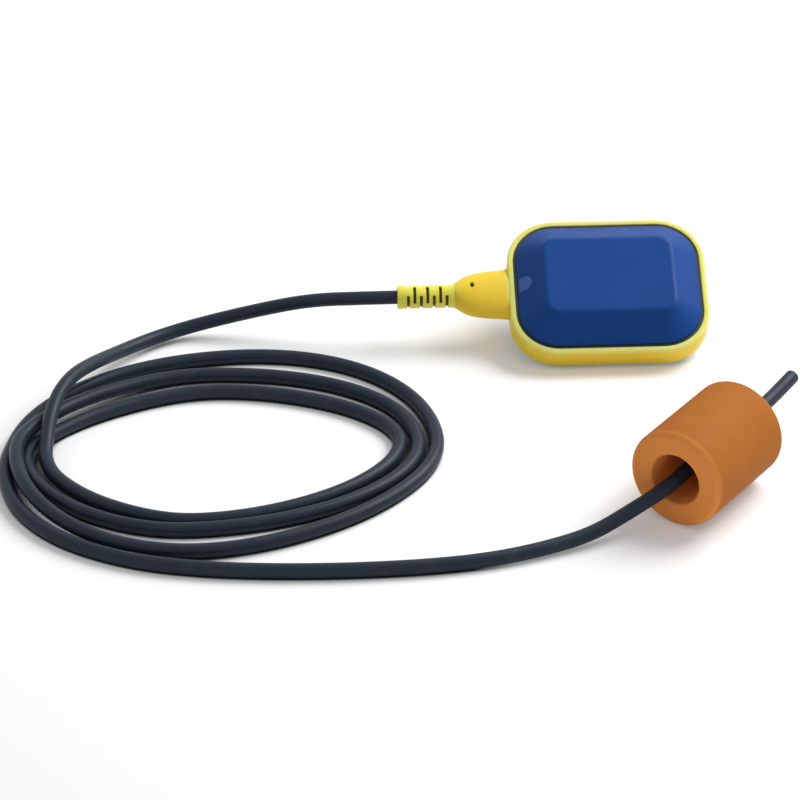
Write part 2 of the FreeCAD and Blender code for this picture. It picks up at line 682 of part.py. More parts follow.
def weight_axis():
    yaw = math.radians(WEIGHT_YAW)
    return V(math.cos(yaw), math.sin(yaw), 0)


def by_weight(along, side, up):
    """Point given along the weight's axis from its middle, to its right side, and up."""
    axis = weight_axis()
    right = V(axis.y, -axis.x, 0)
    return V(WEIGHT_X, WEIGHT_Y, WEIGHT_RADIUS) + axis * along + right * side + V(0, 0, up)


def on_weight(shape):
    """Lays a piece, made along +X about the origin, on the weight's axis."""
    placed = shape.copy()
    placed.rotate(V(0, 0, 0), V(0, 0, 1), WEIGHT_YAW)
    placed.translate(V(WEIGHT_X, WEIGHT_Y, WEIGHT_RADIUS))
    return placed


def turned(profile):
    """Closed half profile of distance and radius, turned about X."""
    corners = [V(x, 0, r) for x, r in profile]
    wire = Part.makePolygon(corners + corners[:1])
    return Part.Face(wire).revolve(V(0, 0, 0), V(1, 0, 0), 360)


def sleeve_room():
    """Radius of the sleeve's bore."""
    return WEIGHT_RADIUS - SLEEVE_WALL


def weight_shell():
    """Outer sleeve with soft rims. The core and the end cap close it, and hold the ballast in it."""
    front = -WEIGHT_LENGTH / 2
    body = rod(WEIGHT_RADIUS, V(front, 0, 0), V(1, 0, 0), WEIGHT_LENGTH)
    rims = [e for e in body.Edges if e.BoundBox.XMax - e.BoundBox.XMin < 1e-4]
    body = body.makeFillet(WEIGHT_EDGE, rims)
    return body.cut(rod(sleeve_room(), V(front - 1, 0, 0), V(1, 0, 0), WEIGHT_LENGTH + 2))


def weight_core():
    """Flanged tube. Its bore narrows from the mouth in the flange to the seat of the grip."""
    front = -WEIGHT_LENGTH / 2
    inner_end = WEIGHT_LENGTH / 2 - END_WALL - WEIGHT_FIT
    throat = front + THROAT_DEPTH
    seat = throat + GRIP_LENGTH
    flange = sleeve_room() - WEIGHT_FIT
    body = turned([
        (front, MOUTH_RADIUS),
        (front, flange),
        (front + END_WALL, flange),
        (front + END_WALL, CORE_WALL_RADIUS),
        (inner_end, CORE_WALL_RADIUS),
        (inner_end, BACK_HOLE_RADIUS),
        (seat, BACK_HOLE_RADIUS),
        (seat, THROAT_RADIUS),
        (throat, THROAT_RADIUS),
    ])
    lip = [e for e in body.Edges if e.BoundBox.XMax < front + 1e-4 and e.BoundBox.YMax < MOUTH_RADIUS + 0.1]
    return body.makeFillet(MOUTH_EDGE, lip)


def weight_ballast():
    """Heavy ring that fills the room between sleeve and core."""
    low = -WEIGHT_LENGTH / 2 + END_WALL + WEIGHT_FIT
    length = WEIGHT_LENGTH - 2 * END_WALL - 2 * WEIGHT_FIT
    ring = rod(sleeve_room() - WEIGHT_FIT, V(low, 0, 0), V(1, 0, 0), length)
    return ring.cut(rod(CORE_WALL_RADIUS + WEIGHT_FIT, V(low - 1, 0, 0), V(1, 0, 0), length + 2))


def weight_cap():
    """Disc that closes the sleeve's back end, with a hole for the lead."""
    low = WEIGHT_LENGTH / 2 - END_WALL
    disc = rod(sleeve_room() - WEIGHT_FIT, V(low, 0, 0), V(1, 0, 0), END_WALL)
    return disc.cut(rod(BACK_HOLE_RADIUS, V(low - 1, 0, 0), V(1, 0, 0), END_WALL + 2))


def cable_grip():
    """Slit collar that holds the sheath inside the weight."""
    start = THROAT_DEPTH - WEIGHT_LENGTH / 2 + GRIP_FIT
    length = GRIP_LENGTH - 2 * GRIP_FIT
    body = rod(THROAT_RADIUS - GRIP_FIT, V(start, 0, 0), V(1, 0, 0), length)
    body = body.cut(rod(CABLE_RADIUS + CABLE_FIT, V(start - 1, 0, 0), V(1, 0, 0), length + 2))
    reach = THROAT_RADIUS + 1
    for index in range(GRIP_SLIT_COUNT):
        slit = box(start - 1, start + GRIP_SLIT_DEPTH, 0, reach, -GRIP_SLIT / 2, GRIP_SLIT / 2)
        slit.rotate(V(0, 0, 0), V(1, 0, 0), 360 / GRIP_SLIT_COUNT * index)
        body = body.cut(slit)
    return body


def quarter(start, end, from_side):
    """Quarter of an ellipse from one outermost point of a turn to the next, as one smooth edge."""
    points = []
    for step in range(7):
        t = math.pi / 12 * step
        if from_side:
            x = end[0] + (start[0] - end[0]) * math.cos(t)
            y = start[1] + (end[1] - start[1]) * math.sin(t)
        else:
            x = start[0] + (end[0] - start[0]) * math.sin(t)
            y = end[1] + (start[1] - end[1]) * math.cos(t)
        points.append(V(x, y, COIL_BOTTOM))
    along = V(end[0] - start[0], 0, 0).normalize()
    across = V(0, end[1] - start[1], 0).normalize()
    leaving, arriving = (across, along) if from_side else (along, across)
    curve = Part.BSplineCurve()
    curve.interpolate(Points=points, InitialTangent=leaving, FinalTangent=arriving)
    return curve.toShape()


def coil_outline(places, offset, first_x, last_x, lane_back):
    """Loop through the outermost points of a turn, moved by an offset. At the left it ends in a straight
    lane and a step as wide as the cable, where a strand comes in or goes out."""
    left, front, right, back = places
    front = (front[0], front[1] - offset)
    right = (right[0] + offset, right[1])
    back = (back[0], back[1] + offset)
    first = (first_x, left[1])
    last = (last_x, lane_back)
    step = (last_x, left[1])
    edges = [
        quarter(first, front, True),
        quarter(front, right, False),
        quarter(right, back, True),
        quarter(back, last, False),
    ]
    if lane_back != left[1]:
        edges.append(Part.makeLine(V(*last, COIL_BOTTOM), V(*step, COIL_BOTTOM)))
    edges.append(Part.makeLine(V(*step, COIL_BOTTOM), V(*first, COIL_BOTTOM)))
    return Part.Wire(edges)


def cable_coil():
    """Outer shape of the loose coil. The lead comes in at the inner step and goes out at the outer one."""
    around = CABLE_RADIUS + COIL_GAP
    lane_out, lane_in = COIL_OUTER[0][0], COIL_INNER[0][0]
    outer = coil_outline(COIL_OUTER, around, lane_out + around, lane_out - around, COIL_OUTER[0][1])
    inner = coil_outline(COIL_INNER, -around, lane_in + around, lane_in - around, COIL_LANE_BACK)
    ring = Part.Face(outer).cut(Part.Face(inner)).extrude(V(0, 0, COIL_TOP - COIL_BOTTOM))
    curved = [e for e in edges_at(ring, COIL_TOP) if not isinstance(e.Curve, Part.Line)]
    return ring.makeFillet(COIL_EDGE, curved)


def report_tube(name, solid, length, radii):
    section = math.pi * CABLE_RADIUS ** 2 * length
    print(name, "length", round(length, 1), "volume / (section x length)", round(solid.Volume / section, 4))
    print(name, "arc radii", [round(r, 1) for r in radii])


def main():
    os.makedirs("parts", exist_ok=True)
    lower = cover().mirror(V(0, 0, 0), V(0, 0, 1))
    float_pieces = {
        "frame_ring": frame_ring(),
        "upper_cover": cover(),
        "lower_cover": lower,
        "upper_seal": seal(),
        "lower_seal": seal().mirror(V(0, 0, 0), V(0, 0, 1)),
        "cable_boot": cable_boot(),
        "cable_inlet": cable_inlet(),
        "gland_bush": gland_bush(),
        "cable_clamp": cable_clamp(),
        "clamp_screws": clamp_screws(),
        "capsule_base": capsule_base(),
        "capsule_seal": capsule_seal(),
        "capsule_lid": capsule_lid(),
        "capsule_screws": capsule_screws(),
        "contact_ball": contact_ball(),
        "switch_case": switch_case(),
        "switch_lever": switch_lever(),
        "lever_pin": lever_pin(),
        "switch_plunger": switch_plunger(),
        "terminal_open": terminal(-1),
        "terminal_common": terminal(0),
        "terminal_closed": terminal(1),
        "core_blue": core(-1),
        "core_brown": core(0),
        "core_black": core(1),
    }
    height = -on_float(lower, 0).optimalBoundingBox(False).ZMin
    nodes = {name: on_float(shape, height) for name, shape in float_pieces.items()}
    nodes["weight_shell"] = on_weight(weight_shell())
    nodes["weight_core"] = on_weight(weight_core())
    nodes["weight_ballast"] = on_weight(weight_ballast())
    nodes["weight_cap"] = on_weight(weight_cap())
    nodes["cable_grip"] = on_weight(cable_grip())

    exit_point = (FLOAT_X + BOOT_END, 0, height)
    entry = COIL_INNER[0]
    straight = (FLOAT_X + BOOT_END - LEAD_STRAIGHT, 0, height)
    lead = [exit_point, straight, *LEAD_POINTS, (entry[0], entry[1], LEAD_END_HEIGHT)]
    solid, length, radii = tube(lead, CABLE_RADIUS)
    nodes["cable_lead"] = solid
    report_tube("lead", solid, length, radii)
    leave = COIL_OUTER[0]
    tail = [(leave[0], leave[1], FLOOR_LINE), *TAIL_POINTS, *[tuple(by_weight(*p)) for p in WEIGHT_POINTS]]
    solid, length, radii = tube(tail, CABLE_RADIUS)
    nodes["cable_tail"] = solid
    report_tube("tail", solid, length, radii)
    nodes["cable_coil"] = cable_coil()

    for name, shape in nodes.items():
        if not shape.isValid():
            print("not valid:", name)
        shape.exportStep(f"parts/{name}.step")
    loose = ("cable_lead", "cable_coil", "cable_tail")
    whole = Part.makeCompound([s for n, s in nodes.items() if n not in loose])
    print("float centre height", round(height, 3))
    pin = on_float(Part.Vertex(V(PIN_FROM_MIDDLE, 0, PIN_HEIGHT)), height).Point
    print("pin", tuple(round(c, 3) for c in pin))
    print("lever swing", round(lever_swing(), 4), "plunger travel", round(plunger_travel(), 4))
    print("nodes", len(nodes), "box", whole.BoundBox)


main()
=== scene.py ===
import bpy
import bmesh
import json
import math
from mathutils import Matrix, Vector

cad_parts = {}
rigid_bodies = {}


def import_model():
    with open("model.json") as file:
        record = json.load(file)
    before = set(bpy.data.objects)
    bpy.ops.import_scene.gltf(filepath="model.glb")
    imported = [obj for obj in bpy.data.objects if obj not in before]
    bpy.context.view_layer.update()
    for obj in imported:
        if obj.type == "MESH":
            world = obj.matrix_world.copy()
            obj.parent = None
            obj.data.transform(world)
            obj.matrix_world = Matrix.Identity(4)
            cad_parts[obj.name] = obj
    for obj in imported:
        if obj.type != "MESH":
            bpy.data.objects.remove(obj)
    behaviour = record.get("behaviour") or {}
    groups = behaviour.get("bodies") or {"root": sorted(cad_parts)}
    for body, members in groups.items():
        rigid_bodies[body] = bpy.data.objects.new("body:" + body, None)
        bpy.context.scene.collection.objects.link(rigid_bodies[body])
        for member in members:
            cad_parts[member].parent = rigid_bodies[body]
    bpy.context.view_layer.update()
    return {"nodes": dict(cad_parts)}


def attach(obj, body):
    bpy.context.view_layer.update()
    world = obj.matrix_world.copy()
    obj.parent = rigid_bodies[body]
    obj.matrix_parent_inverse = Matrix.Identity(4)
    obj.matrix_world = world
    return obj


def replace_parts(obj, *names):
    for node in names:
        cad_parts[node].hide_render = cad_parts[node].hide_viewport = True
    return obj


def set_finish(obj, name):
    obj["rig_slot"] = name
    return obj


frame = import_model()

MM = 0.001
PI = math.pi
FULL_TURN = 2 * PI


def link(obj):
    """Puts an object into the scene."""
    bpy.context.scene.collection.objects.link(obj)
    return obj


def face_along(obj, direction):
    """Turns a camera or lamp to face along a direction."""
    obj.rotation_mode = "QUATERNION"
    obj.rotation_quaternion = direction.to_track_quat("-Z", "Y")


# ---- camera ----
CAMERA_AZIMUTH, CAMERA_ELEVATION = math.radians(-2.8), math.radians(31.0)
CAMERA_AIM = Vector((-0.0851, -0.097, 0.025))
CAMERA_DISTANCE = 1.725
SENSOR_WIDTH, FOCAL_LENGTH = 36.0, 156.6
CAMERA_SHIFT = (0.00302, -0.00536)
CAMERA_CLIP = (0.05, 20.0)


def make_camera():
    flat = math.cos(CAMERA_ELEVATION)
    back = Vector((math.sin(CAMERA_AZIMUTH) * flat, -math.cos(CAMERA_AZIMUTH) * flat,
                   math.sin(CAMERA_ELEVATION)))
    data = bpy.data.cameras.new("camera")
    data.sensor_width, data.lens = SENSOR_WIDTH, FOCAL_LENGTH
    data.shift_x, data.shift_y = CAMERA_SHIFT
    data.clip_start, data.clip_end = CAMERA_CLIP
    camera = link(bpy.data.objects.new("camera", data))
    camera.location = CAMERA_AIM + back * CAMERA_DISTANCE
    face_along(camera, -back)
    bpy.context.scene.camera = camera


make_camera()


# ---- the cable, in metres ----
CABLE_RADIUS = 0.0036
LEAD = [
    (-0.0806, 0.0, 0.0263),
    (-0.0990, 0.0, 0.0263),
    (-0.1270, 0.0055, 0.0228),
    (-0.1580, 0.0100, 0.0140),
    (-0.1870, 0.0105, 0.0064),
    (-0.2090, 0.0, 0.0050),
    (-0.2270, -0.0205, 0.0086),
    (-0.2385, -0.0420, 0.0154),
    (-0.2475, -0.0590, 0.0188),
    (-0.2540, -0.0750, 0.0180),
    (-0.2578, -0.0905, 0.0136),
    (-0.2592, -0.1045, 0.0086),
]
# Outermost points of the coil's turns, left, front, right, back and so on, and how far the
# quarter turn that ends there is flattened
TURNS = [
    (-0.2596, -0.1185, 0.0056, 0.0),
    (-0.1860, -0.1740, 0.0037, 1.2),
    (-0.0824, -0.1060, 0.0037, 1.12),
    (-0.1780, -0.0515, 0.0037, 1.1),
    (-0.2706, -0.1120, 0.0037, 1.28),
    (-0.1900, -0.1820, 0.0037, 1.1),
    (-0.0732, -0.1080, 0.0037, 1.05),
    (-0.1810, -0.0345, 0.0037, 0.94),
    (-0.2754, -0.1120, 0.0099, 1.25),
    (-0.1860, -0.2010, 0.0037, 0.97),
    (-0.0638, -0.1085, 0.0037, 1.16),
    (-0.1600, -0.0163, 0.0037, 0.94),
    (-0.2790, -0.1120, 0.0037, 1.0),
]
POINTS_PER_QUARTER = 4
TAIL = [
    (-0.2790, -0.1330, 0.0037),
    (-0.2710, -0.1606, 0.0037),
    (-0.2500, -0.1870, 0.0037),
    (-0.2170, -0.2060, 0.0037),
    (-0.1820, -0.2146, 0.0037),
    (-0.1460, -0.2182, 0.0037),
    (-0.1100, -0.2190, 0.0037),
    (-0.0740, -0.2174, 0.0037),
    (-0.0430, -0.2126, 0.0037),
    (-0.0170, -0.2040, 0.0039),
    (0.0030, -0.1963, 0.0056),
    (0.0195, -0.1875, 0.0104),
]
WEIGHT_YAW = math.radians(52.0)
WEIGHT_MIDDLE = Vector((0.0616, -0.1575, 0.025))
# Along the weight's axis from its middle, to its right side, and up
THROUGH_WEIGHT = [
    (-0.0310, -0.0046, -0.0066),
    (-0.0140, -0.0009, -0.0013),
    (0.0040, 0.00002, 0.0),
    (0.0310, -0.00002, 0.0),
    (0.0455, 0.0, 0.0),
    (0.0600, 0.00002, 0.00002),
    (0.0812, 0.0, 0.0028),
]
CABLE_END = (0.0830, 0.0, 0.0030)


def by_weight(along, side, up):
    axis = Vector((math.cos(WEIGHT_YAW), math.sin(WEIGHT_YAW), 0))
    right = Vector((axis.y, -axis.x, 0))
    return WEIGHT_MIDDLE + axis * along + right * side + Vector((0, 0, up))


def ease(x):
    """Smooth climb from 0 to 1 as x goes from 0 to 1."""
    return x * x * (3 - 2 * x)


def coil_points():
    """Four points on each quarter turn, from one outermost point to the next."""
    points = []
    for index, (a, b) in enumerate(zip(TURNS, TURNS[1:])):
        flattened = b[3]
        for step in range(POINTS_PER_QUARTER):
            share = step / POINTS_PER_QUARTER
            c = math.cos(PI / 2 * share) ** flattened
            s = math.sin(PI / 2 * share) ** flattened
            if index % 2 == 0:
                x, y = b[0] + (a[0] - b[0]) * c, a[1] + (b[1] - a[1]) * s
            else:
                x, y = a[0] + (b[0] - a[0]) * s, b[1] + (a[1] - b[1]) * c
            points.append((x, y, a[2] + (b[2] - a[2]) * ease(share)))
    return points + [TURNS[-1][:3]]


def make_cable():
    points = LEAD + coil_points() + TAIL + [tuple(by_weight(*p)) for p in THROUGH_WEIGHT]
    curve = bpy.data.curves.new("cable", "CURVE")
    curve.dimensions = "3D"
    spline = curve.splines.new("NURBS")
    spline.points.add(len(points) - 1)
    # The points carry the cable's radius, so that the curve's box is no larger than the cable
    for point, place in zip(spline.points, points):
        point.co = (*place, 1.0)
        point.radius = CABLE_RADIUS
    spline.order_u = 3
    spline.use_endpoint_u = True
    spline.resolution_u = 8
    curve.bevel_depth = 1.0
    curve.bevel_resolution = 9
    curve.use_fill_caps = True
    cable = link(bpy.data.objects.new("cable", curve))
    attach(cable, "float_switch")
    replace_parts(cable, "cable_lead", "cable_coil", "cable_tail")
    return cable


cable = make_cable()

# ---- places of the pieces ----
FLOAT_MIDDLE, FLOAT_TILT = (0.0289, 0.0, 0.0263), math.radians(28.5)
FLOAT_PLACE = Matrix.Translation(FLOAT_MIDDLE) @ Matrix.Rotation(FLOAT_TILT, 4, "X")
WEIGHT_PLACE = Matrix.Translation(WEIGHT_MIDDLE) @ Matrix.Rotation(WEIGHT_YAW, 4, "Z")


# ---- shapes, in millimetres about the float's or the weight's own axes ----
def new_object(name, mesh, place, body, slot_name, sharp_from):
    """A finished mesh, set in place on its body. Edges above sharp_from degrees stay sharp."""
    mesh.transform(place @ Matrix.Scale(MM, 4))
    for face in mesh.polygons:
        face.use_smooth = True
    obj = link(bpy.data.objects.new(name, mesh))
    if sharp_from:
        mesh.set_sharp_from_angle(angle=math.radians(sharp_from))
    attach(obj, body)
    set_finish(obj, slot_name)
    return obj


def skin(bm, loops, wrap=False):
    """Quads between loops of equal length. With wrap the last loop meets the first one."""
    pairs = list(zip(loops, loops[1:]))
    if wrap:
        pairs.append((loops[-1], loops[0]))
    for low, high in pairs:
        for i in range(len(low)):
            k = (i + 1) % len(low)
            bm.faces.new((low[i], low[k], high[k], high[i]))


def to_mesh(name, bm):
    mesh = bpy.data.meshes.new(name)
    bm.to_mesh(mesh)
    bm.free()
    return mesh


def closed_mesh(name, bm):
    bmesh.ops.recalc_face_normals(bm, faces=bm.faces)
    return to_mesh(name, bm)


def boolean_cut(mesh, cutter):
    """Mesh with a closed cutter taken out of it."""
    whole = link(bpy.data.objects.new("whole", mesh))
    tool = link(bpy.data.objects.new("tool", cutter))
    modifier = whole.modifiers.new("cut", "BOOLEAN")
    modifier.operation, modifier.solver, modifier.object = "DIFFERENCE", "EXACT", tool
    bpy.context.view_layer.update()
    evaluated = whole.evaluated_get(bpy.context.evaluated_depsgraph_get())
    cut = bpy.data.meshes.new_from_object(evaluated)
    for obj in (whole, tool):
        bpy.data.objects.remove(obj)
    return cut


def arc(centre, radius, start, end, steps):
    """Points of an arc in a profile, angles in degrees."""
    out = []
    for i in range(steps + 1):
        a = math.radians(start + (end - start) * i / steps)
        out.append((centre[0] + radius * math.cos(a), centre[1] + radius * math.sin(a)))
    return out


def fillet(before, corner, after, radius, steps):
    """Arc points that round one corner of a profile."""
    a = (Vector(before) - Vector(corner)).normalized()
    b = (Vector(after) - Vector(corner)).normalized()
    half = a.angle(b) / 2
    reach = radius / math.tan(half)
    first, last = Vector(corner) + a * reach, Vector(corner) + b * reach
    centre = Vector(corner) + (a + b).normalized() * (radius / math.sin(half))
    out = []
    for i in range(steps + 1):
        p = first.lerp(last, i / steps)
        out.append(tuple(centre + (p - centre).normalized() * radius))
    return out


def round_angles(steps):
    return [FULL_TURN * i / steps for i in range(steps)]


def ring_loop(bm, x, radius, angles):
    """Vertices at angles round the X axis, from the Y axis on."""
    return [bm.verts.new((x, radius * math.cos(a), radius * math.sin(a))) for a in angles]


# Points on each corner of a rounded rectangle, and on its sides across X and across Y
CORNER_STEPS, ACROSS_STEPS, ALONG_STEPS = 14, 8, 10


def outline(length, width, corner):
    """Rounded rectangle with the same number of points at any size."""
    a, b = length / 2, width / 2
    points = []
    for turn in range(4):
        angle = PI / 2 * turn
        p, q = (a, b) if turn % 2 == 0 else (b, a)
        runs = ACROSS_STEPS if turn % 2 == 0 else ALONG_STEPS
        local = [(p, (corner - q) * (1 - 2 * i / runs)) for i in range(runs)]
        for i in range(CORNER_STEPS):
            bend = PI / 2 * i / CORNER_STEPS
            x, y = p - corner + corner * math.cos(bend), q - corner + corner * math.sin(bend)
            local.append((x, y))
        c, s = math.cos(angle), math.sin(angle)
        points += [(x * c - y * s, x * s + y * c) for x, y in local]
    return points


def turned(name, profile, steps, body, slot_name, place):
    """Closed profile of distance and radius, turned about X."""
    bm = bmesh.new()
    angles = round_angles(steps)
    loops = []
    for x, r in profile:
        loops.append([bm.verts.new((x, r * math.sin(a), r * math.cos(a))) for a in angles])
    skin(bm, loops, True)
    return new_object(name, closed_mesh(name, bm), place, body, slot_name, 35.0)


# ---- the float ----
RING_LENGTH, RING_WIDTH, RING_CORNER = 103.4, 81.0, 25.0
HALF_BAND, LIP_WALL, HALF_SHELF, SHELF_INSET = 6.6, 3.0, 2.1, 8.0
LIP_EDGE, LIP_INNER_EDGE, SHELF_EDGE = 1.1, 0.45, 0.2
COVER_INSET = 4.6
COVER_LENGTH = RING_LENGTH - 2 * COVER_INSET
COVER_WIDTH = RING_WIDTH - 2 * COVER_INSET
COVER_CORNER = RING_CORNER - COVER_INSET
LEAST_CORNER = 0.8
RIM_TOP, COVER_TOP, BEVEL_RUN, COVER_WALL = 7.2, 18.1, 13.8, 2.4
RIM_EDGE, FLAT_EDGE, FLAT_SINK = 1.0, 3.4, 0.22
RING_END, NECK_END, BOOT_END = -51.7, -79.7, -109.5
SLOPE = math.atan2(COVER_TOP - RIM_TOP, BEVEL_RUN)


def cover_loop(bm, inset, height):
    """Vertices round a cover, set in from its edge."""
    corner = max(COVER_CORNER - inset, LEAST_CORNER)
    points = outline(COVER_LENGTH - 2 * inset, COVER_WIDTH - 2 * inset, corner)
    return [bm.verts.new((x, y, height)) for x, y in points]


def float_cover(side):
    """Domed half with soft edges. Its flat top is drawn in a little, as a cooled moulding is."""
    seat, rim_straight = HALF_SHELF + 0.05, 4.4
    profile = [(COVER_WALL, seat), (0.25, seat), (0.0, HALF_SHELF + 0.3), (0.0, rim_straight)]
    rim, edge, top = (0.0, RIM_TOP), (BEVEL_RUN, COVER_TOP), (BEVEL_RUN + 10, COVER_TOP)
    profile += fillet((0.0, rim_straight), rim, edge, RIM_EDGE, 5)
    profile += [(BEVEL_RUN * f, RIM_TOP + (COVER_TOP - RIM_TOP) * f) for f in (0.2, 0.4, 0.6, 0.78)]
    profile += fillet(rim, edge, top, FLAT_EDGE, 7)
    bm = bmesh.new()
    loops = [cover_loop(bm, inset, height * side) for inset, height in profile]
    last = [v.co.copy() for v in loops[-1]]
    for share in (0.97, 0.9, 0.8, 0.66, 0.5, 0.34, 0.18, 0.07):
        sink = FLAT_SINK * (1 - share ** 4)
        loops.append([bm.verts.new((c.x * share, c.y * share, c.z - sink * side)) for c in last])
    skin(bm, loops)
    middle = bm.verts.new((0, 0, (COVER_TOP - FLAT_SINK) * side))
    end = loops[-1]
    for i in range(len(end)):
        bm.faces.new((end[i], end[(i + 1) % len(end)], middle))
    # Inner side, closed against the rim
    drop = COVER_WALL * (1 - math.sin(SLOPE)) / math.cos(SLOPE)
    flat = (COVER_WALL + (COVER_TOP - RIM_TOP - COVER_WALL) * math.cos(SLOPE)) / math.sin(SLOPE)
    inner = [loops[0]]
    for inset, height in ((COVER_WALL, RIM_TOP - drop), (flat, COVER_TOP - COVER_WALL)):
        inner.append(cover_loop(bm, inset, height * side))
    skin(bm, inner)
    bm.faces.new(inner[-1])
    name = "float_cover_upper" if side > 0 else "float_cover_lower"
    node = "upper_cover" if side > 0 else "lower_cover"
    mesh = closed_mesh(name, bm)
    obj = new_object(name, mesh, FLOAT_PLACE, "float_switch", "cover_plastic", 0)
    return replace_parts(obj, node)


PAD_RADIUS, PAD_FROM_RIM, PAD_STRAIGHT = 4.1, 0.9, 4.6
PAD_ARC_STEPS, PAD_SIDE_STEPS = 32, 8
# Inset and height of the loops round a gate pad, from its foot in the bevel to its flat top
PAD_LOOPS = ((0.0, -0.3), (0.0, 0.18), (0.05, 0.26), (0.16, 0.3), (1.6, 0.3), (3.0, 0.3))


def gate_pad(side):
    """Low pad on the bevel by the neck, with a round end up the slope, left by the mould's gate."""
    rim = Vector((-COVER_LENGTH / 2, 0, RIM_TOP))
    up = Vector((math.cos(SLOPE), 0, math.sin(SLOPE)))
    normal = Vector((-math.sin(SLOPE), 0, math.cos(SLOPE)))
    across = Vector((0, 1, 0))
    bends = [PI * i / PAD_ARC_STEPS for i in range(PAD_ARC_STEPS + 1)]
    shares = [1 - 2 * i / PAD_SIDE_STEPS for i in range(1, PAD_SIDE_STEPS)]
    bm = bmesh.new()
    loops = []
    for inset, height in PAD_LOOPS:
        radius = PAD_RADIUS - inset
        low = PAD_FROM_RIM + inset
        between = low + (PAD_STRAIGHT - low) / 2
        flat = [(low, -radius), (between, -radius)]
        flat += [(PAD_STRAIGHT + radius * math.sin(a), -radius * math.cos(a)) for a in bends]
        flat += [(between, radius), (low, radius)]
        flat += [(low, radius * share) for share in shares]
        loops.append([bm.verts.new(rim + up * s + across * y + normal * height) for s, y in flat])
    skin(bm, loops)
    bm.faces.new(loops[-1])
    bm.faces.new(loops[0])
    for v in bm.verts:
        v.co.z *= side
    name = "gate_pad_upper" if side > 0 else "gate_pad_lower"
    mesh = closed_mesh(name, bm)
    return new_object(name, mesh, FLOAT_PLACE, "float_switch", "cover_plastic", 40.0)


def float_ring():
    """Band with rounded lips and the inner shelf that both seals sit on."""
    half = arc((LIP_EDGE, HALF_BAND - LIP_EDGE), LIP_EDGE, 180, 90, 7)
    inner_edge = (LIP_WALL - LIP_INNER_EDGE, HALF_BAND - LIP_INNER_EDGE)
    half += arc(inner_edge, LIP_INNER_EDGE, 90, 0, 5)
    half += [(LIP_WALL, 4.4), (LIP_WALL, HALF_SHELF)]
    half += [(SHELF_INSET - SHELF_EDGE, HALF_SHELF), (SHELF_INSET, HALF_SHELF - SHELF_EDGE)]
    profile = [(0.0, 0.0), (0.0, 2.8)] + half + [(i, -h) for i, h in reversed(half)] + [(0.0, -2.8)]
    bm = bmesh.new()
    loops = []
    for inset, height in profile:
        points = outline(RING_LENGTH - 2 * inset, RING_WIDTH - 2 * inset, RING_CORNER - inset)
        loops.append([bm.verts.new((x, y, height)) for x, y in points])
    skin(bm, loops, True)
    mesh = closed_mesh("float_ring", bm)
    obj = new_object("float_ring", mesh, FLOAT_PLACE, "float_switch", "ring_plastic", 50)
    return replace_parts(obj, "frame_ring")


# Distance from the ring's end, half width and half height of the neck's sections
NECK_SECTIONS = [
    (-2.6, 15.6, 6.3), (-0.4, 15.5, 6.3), (0.25, 15.0, 6.35), (1.1, 14.55, 6.5),
    (2.4, 14.25, 6.65), (6.0, 14.0, 6.8), (10.0, 13.75, 6.9), (14.0, 13.3, 6.92),
    (17.2, 12.7, 6.88), (20.0, 11.9, 6.82), (22.4, 10.8, 6.76), (24.5, 9.4, 6.68),
    (26.0, 8.15, 6.6), (27.0, 7.3, 6.54), (27.7, 6.75, 6.44), (28.0, 6.35, 6.15),
]
# The sections are a little squarer than an ellipse by the ring, and less so away from it
SQUARER, SQUARER_REACH = 0.35, 16
NECK_ROOT = 2.6
NECK_BORE = 5.25
NECK_STEPS = 72
VENT_FROM_RING, VENT_TO_SIDE, VENT_RADIUS, VENT_HALF_STRAIGHT = 18.9, 2.6, 1.0, 0.6
VENT_STEPS = 32


def vent_cutter():
    """Upright prism with round ends that flares at its mouth."""
    bm = bmesh.new()
    loops = []
    for z, grow in ((5.1, 0.0), (6.65, 0.0), (7.1, 0.3), (8.0, 0.5)):
        r = VENT_RADIUS + grow
        loop = []
        for a in round_angles(VENT_STEPS):
            c, s = math.cos(a), math.sin(a)
            straight = math.copysign(VENT_HALF_STRAIGHT, s) if abs(s) > 1e-6 else 0.0
            x, y = RING_END - VENT_FROM_RING, VENT_TO_SIDE + straight
            loop.append(bm.verts.new((x + r * c, y + r * s, z)))
        loops.append(loop)
    skin(bm, loops)
    bm.faces.new(loops[0])
    bm.faces.new(loops[-1])
    return closed_mesh("slot", bm)


def neck():
    """Oval neck, flared into the ring's side and drawn in to a round seat, with a small slot."""
    angles = round_angles(NECK_STEPS)
    bm = bmesh.new()
    loops = []
    for distance, wide, high in NECK_SECTIONS:
        power = 2.0 + SQUARER * max(0.0, min(1.0, (SQUARER_REACH - distance) / SQUARER_REACH))
        loop = []
        for a in angles:
            c, s = math.cos(a), math.sin(a)
            scale = (abs(c) ** power + abs(s) ** power) ** (-1 / power)
            loop.append(bm.verts.new((RING_END - distance, wide * c * scale, high * s * scale)))
        loops.append(loop)
    loops.append(ring_loop(bm, NECK_END, NECK_BORE + 0.2, angles))
    loops.append(ring_loop(bm, NECK_END + 0.2, NECK_BORE, angles))
    loops.append(ring_loop(bm, RING_END + NECK_ROOT, NECK_BORE, angles))
    skin(bm, loops, True)
    mesh = boolean_cut(closed_mesh("neck", bm), vent_cutter())
    return new_object("float_neck", mesh, FLOAT_PLACE, "float_switch", "ring_plastic", 35)


SLOT_COUNT, SLOT_WIDTH, SLOT_PITCH, FIRST_SLOT = 7, 1.5, 3.35, 5.6
# Middle and half width in degrees of the side slots, and of the top and bottom slots
SIDE_SLOT, TOP_SLOT = (0, 62), (112, 47)
SLOT_ARC_STEPS = 12
# Radius of a slot's cutter and how much wider it is there
SLOT_ROWS = ((4.7, 0.0), (5.75, 0.0), (6.12, 0.1), (7.2, 0.34))
BOOT_RADIUS, BOOT_BORE, BOOT_STEPS = 6.1, 3.65, 96
SOCKET_DEPTH, SOCKET_RADIUS = 11.0, 5.2


